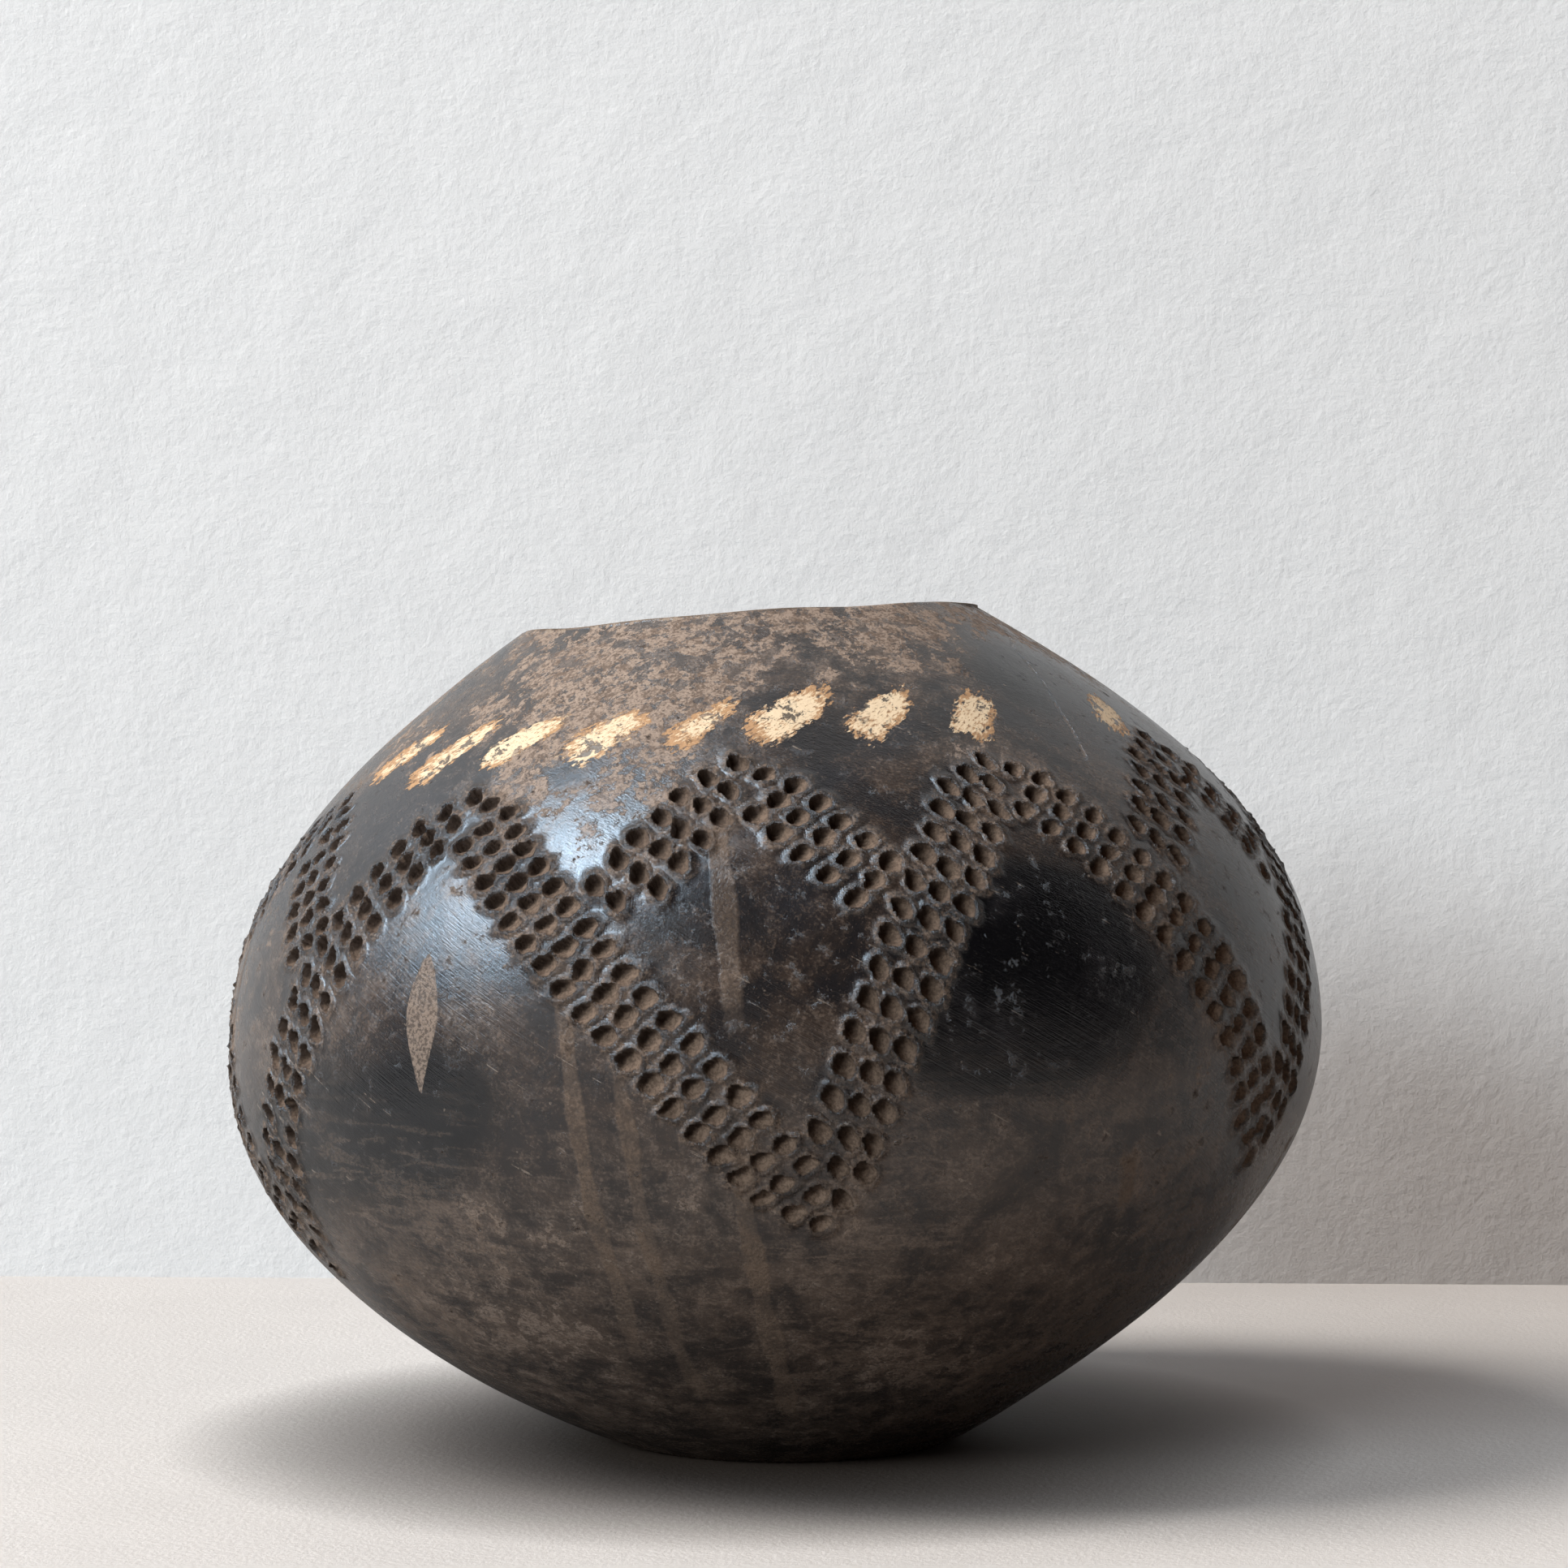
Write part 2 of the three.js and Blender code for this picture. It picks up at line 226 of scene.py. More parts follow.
class Band:
    """The stab marks of the zigzag and its chevrons, and the relief that they press into the wall."""

    def __init__(self, wall, band):
        self.wall, self.band = wall, band
        self.marks = []
        peaks = [(bearing, wall.length - down) for bearing, down in PEAKS]
        before = [(peaks[-1][0] - 360, peaks[-1][1])] + peaks[:-1]
        for trough, *sides in zip(TROUGHS, before, peaks):
            for peak, bend, rightward in zip(sides, trough[2], (False, True)):
                self.add_leg(trough, peak, bend, rightward)
        for (bearing, down, *feet), trough, *sides in zip(CHEVRONS, TROUGHS, before, peaks):
            for peak, bend, foot, rightward in zip(sides, trough[2], feet, (True, False)):
                end = self.foot_on(trough, peak, foot, bend)
                self.add_leg((bearing, wall.length - down), end, 0, rightward)

    def foot_on(self, trough, peak, down, bend):
        up = self.wall.length - down
        share = (up - trough[1]) / (peak[1] - trough[1])
        return mix(trough[0], peak[0], share - bend * share * (1 - share)), up

    def clear_of(self, bearing, up):
        radius = self.wall.radius(up)
        for mark in self.marks:
            turn = abs((bearing - mark["bearing"] + 540) % 360 - 180)
            if math.hypot(math.radians(turn) * radius, up - mark["up"]) < CLOSEST_STABS:
                return False
        return True

    def add_leg(self, start, end, bend, rightward):
        """Adds rows of marks between two turning points: one at each end and up to LANES in between.

        rightward says that the leg rises to the right, where the stick was held steeper.
        """
        middle_up = (start[1] + end[1]) / 2
        per_degree = math.radians(self.wall.radius(middle_up))
        first = np.array((start[0] * per_degree, start[1]))
        last = np.array((end[0] * per_degree, end[1]))
        control = np.array((mix(start[0], end[0], (1 - bend) / 2) * per_degree, middle_up))
        t = np.linspace(0, 1, 201)[:, None]
        run = run_along(bent(first, control, last, t))
        rows = round(run[-1] / self.band.row_pitch)
        for row in range(rows + 1):
            share = np.interp(row / rows * run[-1], run, t[:, 0])
            middle = bent(first, control, last, share)
            along = (1 - share) * (control - first) + share * (last - control)
            along /= np.linalg.norm(along)
            lanes = min(LANES, 1 + row, 1 + rows - row)
            for lane in range(lanes):
                index = len(self.marks)
                side = (lane - (lanes - 1) / 2) * self.band.lane_pitch
                across = STAB_WANDER * scatter(index, 1) - side * along[1]
                up = middle[1] + side * along[0] + STAB_WANDER * scatter(index, 2)
                bearing = middle[0] / per_degree + math.degrees(across / self.wall.radius(up))
                if self.clear_of(bearing, up):
                    self.marks.append({"bearing": bearing, "up": up, "index": index, "rightward": rightward})

    def press(self, bearings, ups):
        """Relief, hollow, ramp and ridge that the marks give a grid of the wall, rows up by columns round.

        Hollow is 1 at a mark's deepest, ramp 1 on its gentle side, and ridge 1 on the clay between marks.
        """
        shape = (len(ups), len(bearings))
        depth, lip, hollow, ramp, near = (np.zeros(shape) for _ in range(5))
        within = np.ones(shape)
        reach = 0.0105
        column_angle = 2 * math.pi / len(bearings)
        for mark in self.marks:
            rows = np.nonzero(abs(ups - mark["up"]) < reach)[0]
            if not len(rows):
                continue
            centre = math.radians(mark["bearing"])
            radius = self.wall.radius(ups[rows])[:, None]
            first = round((centre - bearings[0]) / column_angle)
            half = int(reach / (float(radius.min()) * column_angle)) + 1
            wanted = np.arange(first - half, first + half + 1)
            turn = bearings[0] + wanted * column_angle - centre
            columns = wanted % len(bearings)
            u = turn[None, :] * radius
            v = np.repeat((ups[rows] - mark["up"])[:, None], len(columns), 1)
            share, edge, fall, uphill = self.mouth(mark, u, v)
            patch, index = np.ix_(rows, columns), mark["index"]
            full = self.band.stab_depth * (1 + 0.2 * scatter(index, 5))
            sink = np.where(share < 1, 1 - np.minimum(share, 1) ** fall, 0)
            depth[patch] = np.maximum(depth[patch], full * sink)
            deeper = full * sink >= depth[patch]
            hollow[patch] = np.maximum(hollow[patch], sink)
            # The ramp also sets where the finish paints a mark's dust lighter, as if lit, and its lack sets
            # where it paints shade.
            slope = (1 - smooth(uphill + 0.3 * (1 - share), -0.5, 0.15)) * (0.75 if mark["rightward"] else 1)
            ramp[patch] = np.where(deeper & (share < 1), slope, ramp[patch])
            height = self.band.lip_height * (0.8 + 0.5 * scatter(index, 6)) * (0.55 + 0.45 * abs(uphill))
            outside = np.exp(-((edge - 1) / 0.2) ** 2)
            crest = height * np.where(share < 1, np.minimum(share, 1) ** 12, outside)
            lip[patch] = np.maximum(lip[patch], crest)
            within[patch] = np.minimum(within[patch], np.where(share < 1, share ** 4, 1))
            near[patch] = np.maximum(near[patch], np.exp(-(np.maximum(edge - 1, 0) / 0.55) ** 2))
        crumb = grain(bearings, ups, 0.0024, 11) * 0.6 + grain(bearings, ups, 0.0013, 12) * 0.4
        lip *= within * smooth(crumb + 0.35 * grain(bearings, ups, 0.0045, 14), -0.55, 0.6) * 1.5
        rough = near * (0.00034 * crumb + 0.0002 * grain(bearings, ups, 0.005, 13))
        return lip - depth + rough * np.maximum(within, 0.3), hollow, ramp, near * within * (1 - hollow)

    def mouth(self, mark, u, v):
        """Where each point lies in a mark's ragged outline.

        Returns its share of the way from the deepest point to the edge, its distance from the middle, where 1
        is the edge, the power by which the side falls there, and 1 towards the steep side, -1 to the ramp.
        """
        turn, long, short, gentlest = (-64, 0.52, 0.41, 2.2) if mark["rightward"] else (16, 0.5, 0.43, 1.15)
        band, index = self.band, mark["index"]
        tilt = math.radians(turn + 10 * scatter(index, 4))
        cos, sin = math.cos(tilt), math.sin(tilt)
        size = 1 + 0.08 * scatter(index, 3)
        x = (u * cos + v * sin) / (long * band.stab_width * size)
        y = (v * cos - u * sin) / (short * band.stab_height * size * (1 + 0.07 * scatter(index, 7)))
        angle = np.arctan2(y, x)
        edge_line = 1.0
        for order, swing in ((2, 0.06), (3, 0.09), (4, 0.06), (5, 0.045), (7, 0.035), (9, 0.025)):
            phase = math.pi * scatter(index, 20 + order)
            swing *= 0.6 + 0.6 * scatter(index, 30 + order)
            edge_line = edge_line + swing * np.cos(order * angle + phase)
        x, y = x / edge_line, y / edge_line
        push = (-0.42 + 0.1 * scatter(index, 8), 0.42 + 0.1 * scatter(index, 9))
        x0 = push[0] * cos + push[1] * sin
        y0 = push[1] * cos - push[0] * sin
        dx, dy = x - x0, y - y0
        square = dx * dx + dy * dy + 1e-12
        dot = x0 * dx + y0 * dy
        inner = 1 - x0 * x0 - y0 * y0
        share = square / (np.sqrt(dot * dot + square * inner) - dot)
        uphill = (dx * x0 + dy * y0) / (np.sqrt(square) * math.hypot(x0, y0))
        return share, np.hypot(x, y), mix(gentlest, 6.0, smooth(uphill, -0.8, 0.4)), uphill


def grain(bearings, ups, pitch, seed):
    """Smooth noise from -1 to 1 on a grid of the wall, that closes round the pot."""
    round_count = max(3, round(2 * math.pi * 0.16 / pitch))
    a = (bearings / (2 * math.pi) * round_count) % round_count
    b = ups / pitch + 40
    a0, b0 = np.floor(a).astype(int), np.floor(b).astype(int)
    fa, fb = a - a0, b - b0
    fa, fb = fa * fa * (3 - 2 * fa), (fb * fb * (3 - 2 * fb))[:, None]

    def value(columns, rows):
        return scatter(columns[None, :] % round_count + rows[:, None] * 57.31, seed)

    low = mix(value(a0, b0), value(a0 + 1, b0), fa)
    high = mix(value(a0, b0 + 1), value(a0 + 1, b0 + 1), fa)
    return mix(low, high, fb)


def hand_unevenness(bearings, ups, length):
    """The slow unevenness of a wall raised by hand, and the shallow facets that the burnishing stone left."""
    total = np.zeros((len(ups), len(bearings)))
    turn, rise = bearings[None, :], 2 * math.pi * ups[:, None] / length
    for wave in range(10):
        turns, rises = 2 + wave % 5, round(2 * scatter(wave, 41))
        total += 0.00011 * np.sin(turns * turn + rises * rise + 7 * scatter(wave, 42))
    for wave in range(26):
        turns, rises = 9 + round(9 * abs(scatter(wave, 43))), round(9 * scatter(wave, 44))
        total += 0.000016 * np.sin(turns * turn + rises * rise + 7 * scatter(wave, 45))
    total += 0.00004 * grain(bearings, ups, 0.014, 46) + 0.000012 * grain(bearings, ups, 0.006, 47)
    return total * smooth(ups, 0.004, 0.04)[:, None]


def coil_ripples(bearings, ups):
    """The finger-smoothed coils that still show inside."""
    turn = bearings[None, :]
    phase = 2 * math.pi * ups[:, None] / 0.0195
    ripple = 0.0005 * np.sin(phase + 0.5 * np.sin(3 * turn) + 0.3 * np.sin(7 * turn + 1))
    return ripple + 0.0004 * grain(bearings, ups, 0.021, 51)


class Profile:
    """The points that a course's section is traced through, each with the relief it takes."""

    def __init__(self, wall):
        self.wall = wall
        self.points, self.normals, self.ups, self.kinds = [], [], [], []

    def add(self, points, ups, kind):
        """kind is outside, inside or joint; any other kind takes no relief."""
        points = np.atleast_2d(points)
        ups = np.broadcast_to(np.asarray(ups, float), len(points))
        self.points.extend(points)
        self.normals.extend(self.wall.outward(ups))
        self.ups.extend(ups)
        self.kinds.extend([kind] * len(points))

    def outside(self, ups):
        self.add(self.wall.point(ups), ups, "outside")

    def inside(self, ups):
        self.add(self.wall.inside(ups, self.wall.thickness(ups)), ups, "inside")

    def joint(self, up, set_back):
        self.add(self.wall.inside([up + set_back], [JOINT_DEPTH]), up, "joint")


def deselect_all():
    if bpy.context.object and bpy.context.object.mode != "OBJECT":
        bpy.ops.object.mode_set(mode="OBJECT")
    bpy.ops.object.select_all(action="DESELECT")


def spun(name, profile, columns, closed):
    """Traces a profile in the plane y = 0, spins it round the upright axis and closes what it makes."""
    deselect_all()
    bpy.ops.mesh.primitive_plane_add(size=0.001)
    piece = bpy.context.object
    piece.name = piece.data.name = name
    bpy.ops.object.mode_set(mode="EDIT")
    bpy.ops.mesh.select_mode(type="VERT")
    bpy.ops.mesh.select_all(action="SELECT")
    bpy.ops.mesh.merge(type="COLLAPSE")
    line = np.array(profile.points)
    if closed:
        line = np.concatenate([line, line[:1]])
    bpy.ops.transform.translate(value=(line[0, 0], 0, line[0, 1]))
    for step in np.diff(line, axis=0):
        bpy.ops.mesh.extrude_region_move(TRANSFORM_OT_translate={"value": (step[0], 0, step[1])})
    sector = 2 * math.pi / SECTORS
    bpy.ops.mesh.select_all(action="SELECT")
    bpy.ops.mesh.spin(steps=columns // SECTORS, angle=sector, center=(0, 0, 0), axis=(0, 0, 1))
    bpy.ops.mesh.select_all(action="SELECT")
    rest = 2 * math.pi - sector
    bpy.ops.mesh.spin(steps=SECTORS - 1, dupli=True, angle=rest, center=(0, 0, 0), axis=(0, 0, 1))
    bpy.ops.mesh.select_all(action="SELECT")
    bpy.ops.mesh.remove_doubles(threshold=0.00001)
    bpy.ops.mesh.normals_make_consistent(inside=False)
    bpy.ops.object.mode_set(mode="OBJECT")
    on_axis = int(np.sum(np.array(profile.points)[:, 0] < 1e-6))
    expected = (len(profile.points) - on_axis) * columns + on_axis
    if len(piece.data.vertices) != expected:
        raise RuntimeError(f"{name} spun to {len(piece.data.vertices)} vertices, not {expected}")
    return piece


def read_places(mesh):
    places = np.empty(len(mesh.vertices) * 3, np.float32)
    mesh.vertices.foreach_get("co", places)
    return places.reshape(-1, 3).astype(float)


def shape_course(piece, profile, columns, band):
    """Gives each spun vertex its relief, its lean and the values that the clay's finish reads."""
    mesh, wall = piece.data, profile.wall
    places = read_places(mesh)
    radii = np.hypot(places[:, 0], places[:, 1])
    step = 2 * math.pi / columns
    column = np.round(np.arctan2(places[:, 0], -places[:, 1]) / step).astype(int) % columns
    points = np.array(profile.points)
    row = np.empty(len(places), int)
    batch = 20000
    for start in range(0, len(places), batch):
        part = slice(start, start + batch)
        across, down = radii[part, None] - points[None, :, 0], places[part, 2, None] - points[None, :, 1]
        row[part] = (across ** 2 + down ** 2).argmin(1)
    bearings = np.arange(columns) * step
    ups, kinds, normals = np.array(profile.ups), np.array(profile.kinds), np.array(profile.normals)
    relief = np.zeros((len(ups), columns))
    hollow, ramp, ridge = np.zeros_like(relief), np.zeros_like(relief), np.zeros_like(relief)
    outer = np.nonzero(kinds == "outside")[0]
    relief[outer] = hand_unevenness(bearings, ups[outer], wall.length)
    pressed, hollow[outer], ramp[outer], ridge[outer] = band.press(bearings, ups[outer])
    relief[outer] += pressed
    inner = np.nonzero(kinds == "inside")[0]
    relief[inner] = coil_ripples(bearings, ups[inner])
    bearing = bearings[column]
    shift = relief[row, column]
    radius = points[row, 0] + normals[row, 0] * shift
    height = points[row, 1] + normals[row, 1] * shift
    begins, full = (wall.shape.pot_height - down for down in RIM_WAVES)
    height += rim_waviness(bearing) * smooth(points[row, 1], begins, full)
    radius[radii < 1e-6] = 0
    upright = np.stack([radius * np.sin(bearing), -radius * np.cos(bearing), height], -1)
    mesh.vertices.foreach_set("co", leant(upright).astype(np.float32).ravel())
    values = {"up": ups[row], "inner": (kinds[row] != "outside").astype(float)}
    grids = {"hollow": hollow, "ramp": ramp, "ridge": ridge}
    values |= {name: grid[row, column] for name, grid in grids.items()}
    values |= {name: density(bearing, ups[row], wall) for name, density in STAINS.items()}
    for name, value in values.items():
        layer = mesh.attributes.new(name, "FLOAT", "POINT")
        layer.data.foreach_set("value", np.ascontiguousarray(value, np.float32))
    mesh.update()
    mark_joint_edges(piece, row, kinds)


def rim_waviness(bearing):
    waves = ((0.0004, 2, 0.6), (0.0003, 5, 2), (0.0002, 9, 0))
    return sum(height * np.sin(turns * bearing + phase) for height, turns, phase in waves)


def mark_joint_edges(piece, row, kinds):
    """Marks the edges where a course's faces meet its joints as sharp, and shades the rest smooth."""
    mesh = piece.data
    ends = np.empty(len(mesh.edges) * 2, int)
    mesh.edges.foreach_get("vertices", ends)
    rows = row[ends.reshape(-1, 2)]
    joint_rows = np.nonzero(kinds == "joint")[0]
    border = [r for j in joint_rows for r in ((j - 1) % len(kinds), (j + 1) % len(kinds))]
    chosen = (rows[:, 0] == rows[:, 1]) & np.isin(rows[:, 0], border)
    deselect_all()
    piece.select_set(True)
    bpy.context.view_layer.objects.active = piece
    bpy.ops.object.shade_smooth()
    bpy.ops.object.mode_set(mode="EDIT")
    bpy.ops.mesh.select_mode(type="EDGE")
    bpy.ops.mesh.select_all(action="DESELECT")
    bpy.ops.object.mode_set(mode="OBJECT")
    mesh.edges.foreach_set("select", chosen)
    bpy.ops.object.mode_set(mode="EDIT")
    bpy.ops.mesh.mark_sharp()
    bpy.ops.object.mode_set(mode="OBJECT")


def sideways(bearing, up, wall, centre):
    """How far round the wall, in metres, each point lies from a bearing in radians."""
    turn = (bearing - centre + math.pi) % (2 * math.pi) - math.pi
    return turn * wall.radius(up)


def patches(bearing, up, wall, amount, spots):
    """Adds soft round patches to an amount.

    A spot is a bearing in degrees, a level up the wall, half sizes across and along, and a weight.
    """
    for centre, level, across, along, weight in spots:
        away = (sideways(bearing, up, wall, math.radians(centre)) / across) ** 2 + ((up - level) / along) ** 2
        amount = amount + weight * np.exp(-away)
    return np.clip(amount, 0, 1)


def patina(bearing, up, wall):
    """How thickly the brown, dusty bloom lies."""
    amount = 0.14 + 0.22 * smooth(up, 0.28, 0.335) + 0.1 * (1 - smooth(up, 0.06, 0.16))
    return patches(bearing, up, wall, amount, (
        (-22, 0.336, 0.045, 0.024, 0.45), (-31, 0.286, 0.018, 0.024, 0.5), (-13, 0.292, 0.011, 0.024, 0.5),
        (-19, 0.31, 0.03, 0.014, 0.3), (38, 0.336, 0.03, 0.018, 0.35), (28, 0.279, 0.014, 0.009, 0.35),
        (5, 0.31, 0.008, 0.03, -0.35), (52, 0.318, 0.022, 0.02, -0.4), (-62, 0.325, 0.02, 0.03, -0.15),
        (-15, 0.262, 0.014, 0.02, 0.2), (-19, 0.264, 0.007, 0.022, 0.35), (-6, 0.262, 0.012, 0.03, 0.2),
        (-52, 0.3, 0.03, 0.02, 0.15), (-29, 0.137, 0.03, 0.02, 0.25), (-10, 0.145, 0.025, 0.014, 0.3),
        (-30, 0.097, 0.05, 0.03, 0.25), (39, 0.13, 0.03, 0.03, 0.15), (24, 0.07, 0.03, 0.02, 0.25),
        # The patch at -76 lightens the far left: partly dusty bloom, partly painted light standing in for the
        # reflection there.
        (46, 0.165, 0.012, 0.02, 0.2), (-36, 0.175, 0.04, 0.03, -0.12), (-76, 0.22, 0.03, 0.06, 0.3),
        (28, 0.205, 0.035, 0.035, -0.25), (110, 0.32, 0.06, 0.03, 0.35), (150, 0.2, 0.06, 0.05, 0.2),
        (205, 0.31, 0.07, 0.03, 0.35), (240, 0.17, 0.05, 0.04, -0.15), (200, 0.12, 0.05, 0.03, 0.25),
        (265, 0.3, 0.04, 0.03, 0.3), (95, 0.2, 0.04, 0.04, -0.1), (160, 0.325, 0.03, 0.03, -0.3),
        (75, 0.335, 0.03, 0.02, 0.3), (180, 0.29, 0.02, 0.03, 0.3),
    ))


def smoke(bearing, up, wall):
    """How black the firing left the clay."""
    return patches(bearing, up, wall, 0.0, (
        (29, 0.21, 0.032, 0.03, 1), (20, 0.185, 0.03, 0.012, 0.7), (-36, 0.175, 0.04, 0.024, 0.7),
        (14, 0.22, 0.015, 0.02, 0.3), (48, 0.31, 0.03, 0.03, 0.5), (135, 0.23, 0.04, 0.03, 0.8),
        (190, 0.19, 0.05, 0.03, 0.7), (250, 0.22, 0.04, 0.035, 0.8), (300, 0.16, 0.05, 0.03, 0.6),
        (85, 0.15, 0.04, 0.03, 0.6), (0, 0.02, 0.3, 0.02, 0.4),
    ))


def slate(bearing, up, wall):
    """Where the burnish is clean and slate grey."""
    return patches(bearing, up, wall, 0.0, (
        (56, 0.3, 0.03, 0.035, 1), (18, 0.292, 0.016, 0.016, 0.8), (72, 0.25, 0.035, 0.03, 0.8),
        (8, 0.272, 0.016, 0.01, 0.6), (-44, 0.262, 0.035, 0.016, 0.7), (-27, 0.235, 0.02, 0.02, 0.7),
        (-55, 0.29, 0.03, 0.02, 0.6), (3, 0.23, 0.016, 0.02, 0.6), (130, 0.27, 0.05, 0.03, 0.8),
        (190, 0.25, 0.05, 0.03, 0.8), (245, 0.28, 0.05, 0.03, 0.8), (290, 0.24, 0.04, 0.03, 0.8),
    ))


def drips(bearing, up, wall):
    """Dried dribbles down the wall."""
    amount = np.zeros_like(bearing)
    runs = [
        (
            (-20.8, 0.224), (-19.7, 0.202), (-19, 0.182), (-18.5, 0.162), (-18.4, 0.14), (-18, 0.113),
            (-20.6, 0.07),
        ),
        ((-14.6, 0.19), (-13.6, 0.162), (-13.6, 0.14), (-13.1, 0.113), (-13.6, 0.078), (-12.2, 0.045)),
        ((-5.1, 0.268), (-4.9, 0.252), (-4.0, 0.23), (-3.6, 0.21), (-3.2, 0.188)),
        ((-2.9, 0.17), (-3.3, 0.143), (-2.6, 0.126), (-1.9, 0.102), (0, 0.068), (1.3, 0.035)),
        ((28.3, 0.176), (28.8, 0.165), (29, 0.15)),
        ((37.5, 0.16), (36.9, 0.151), (39, 0.13), (42.6, 0.113)),
    ]
    for spare in range(13):
        centre = 75 + 17.3 * spare + 5 * scatter(spare, 61)
        top = 0.2 + 0.05 * scatter(spare, 62)
        drift = 2.5 * scatter(spare, 63)
        low = 0.07 + 0.03 * scatter(spare, 64)
        runs.append(((centre, top), (centre + drift, mix(top, low, 0.5)), (centre + 0.5 * drift, low)))
    for number, run in enumerate(runs):
        middles, levels = np.array(run[::-1]).T
        away = sideways(bearing, up, wall, np.radians(np.interp(up, levels, middles)))
        half = 0.0031 + 0.0006 * scatter(number, 65) + 0.0005 * np.sin(up * 190 + number)
        line = 1 - smooth(abs(away), 0.5 * half, 1.35 * half)
        low, top = levels[0], levels[-1]
        ends = smooth(up, low - 0.01, low + 0.03) * (1 - smooth(up, top - 0.012, top))
        strength = 0.8 + 0.2 * scatter(number, 66)
        amount = np.maximum(amount, line * ends * strength)
    return amount


def leaf_mark(bearing, up, wall):
    """A leaf-shaped mark where the burnish is missing."""
    centre, level, half_length = math.radians(-35.6), 0.1995, 0.0205
    along = (up - level) / half_length
    width = 0.0056 * np.clip(1 - np.abs(along) ** 1.7, 0, 1) * (1 + 0.35 * along)
    return 1 - smooth(abs(sideways(bearing, up, wall, centre)), width - 0.0006, width + 0.0006)


def score_line(bearing, up, wall):
    """Nearness to a thin line scored down the right of the shoulder: 1 on it, 0 at 4 mm and more away."""
    levels, turns = (0.271, 0.296, 0.326, 0.352), np.radians((44.9, 49.5, 58, 84.6))
    step, reach = 0.001, 0.004
    slant = (np.interp(up + step, levels, turns) - np.interp(up - step, levels, turns)) / (2 * step)
    away = abs(sideways(bearing, up, wall, np.interp(up, levels, turns)))
    away /= np.hypot(1, slant * wall.radius(up))
    return np.clip(1 - away / reach, 0, 1) * smooth(up, levels[0] - 0.002, levels[0] + 0.002)


def slip_dabs(bearing, up, wall):
    """Where a row of slanting brush dabs of pale slip partly clings: over 0.5 is well inside a dab."""
    amount = np.full(bearing.shape, -3.0)
    centres = (-61, -48, -35, -21, -7, 6, 19, 33, 62, 104, 131, 168, 214, 251)
    for number, centre in enumerate(centres):
        level = 0.302 + 0.004 * scatter(number, 72) - 0.00012 * abs(centre)
        x, y = sideways(bearing, up, wall, math.radians(centre)), up - level
        slant = math.radians(33 + 7 * scatter(number, 73))
        length = 0.0178 + 0.003 * scatter(number, 74)
        along = (y * math.cos(slant) + x * math.sin(slant)) / length
        half = (0.0068 + 0.0012 * scatter(number, 75)) * (1 - 0.18 * along)
        across = (x * math.cos(slant) - y * math.sin(slant) - 0.0016 * np.sin(2.2 * along)) / half
        inside = 1 - np.sqrt(np.abs(along) ** 4 + np.abs(across) ** 3)
        dry = 0.42 * smooth(along, 0.0, 0.9)
        wear = 0.16 + 0.16 * scatter(number, 76) + (0.2 if centre > 50 else 0)
        amount = np.maximum(amount, inside - dry - wear)
    return np.clip(amount, -3, 1)


STAINS = {
    "patina": patina, "smoke": smoke, "slate": slate, "drip": drips,
    "leaf": leaf_mark, "score": score_line, "slip": slip_dabs,
}


class Value:
    """What varies over a surface. Its arithmetic adds Math nodes."""

    def __init__(self, paint, socket):
        self.paint, self.socket = paint, socket

    def maths(self, operation, *values):
        return self.paint.node("ShaderNodeMath", {"operation": operation}, dict(enumerate(values)))

    def __add__(self, other):
        return self.maths("ADD", self, other)

    def __sub__(self, other):
        return self.maths("SUBTRACT", self, other)

    def __rsub__(self, other):
        return self.maths("SUBTRACT", other, self)

    def __mul__(self, other):
        return self.maths("MULTIPLY", self, other)

    __radd__ = __add__
    __rmul__ = __mul__

    def larger(self, other):
        return self.maths("MAXIMUM", self, other)

    def clipped(self):
        return self.paint.node("ShaderNodeClamp", {}, {"Value": self})

    def step(self, low, high):
        """A smooth step, 0 up to low and 1 from high."""
        settings = {"interpolation_type": "SMOOTHSTEP", "clamp": True}
        inputs = {"Value": self, "From Min": low, "From Max": high}
        return self.paint.node("ShaderNodeMapRange", settings, inputs)


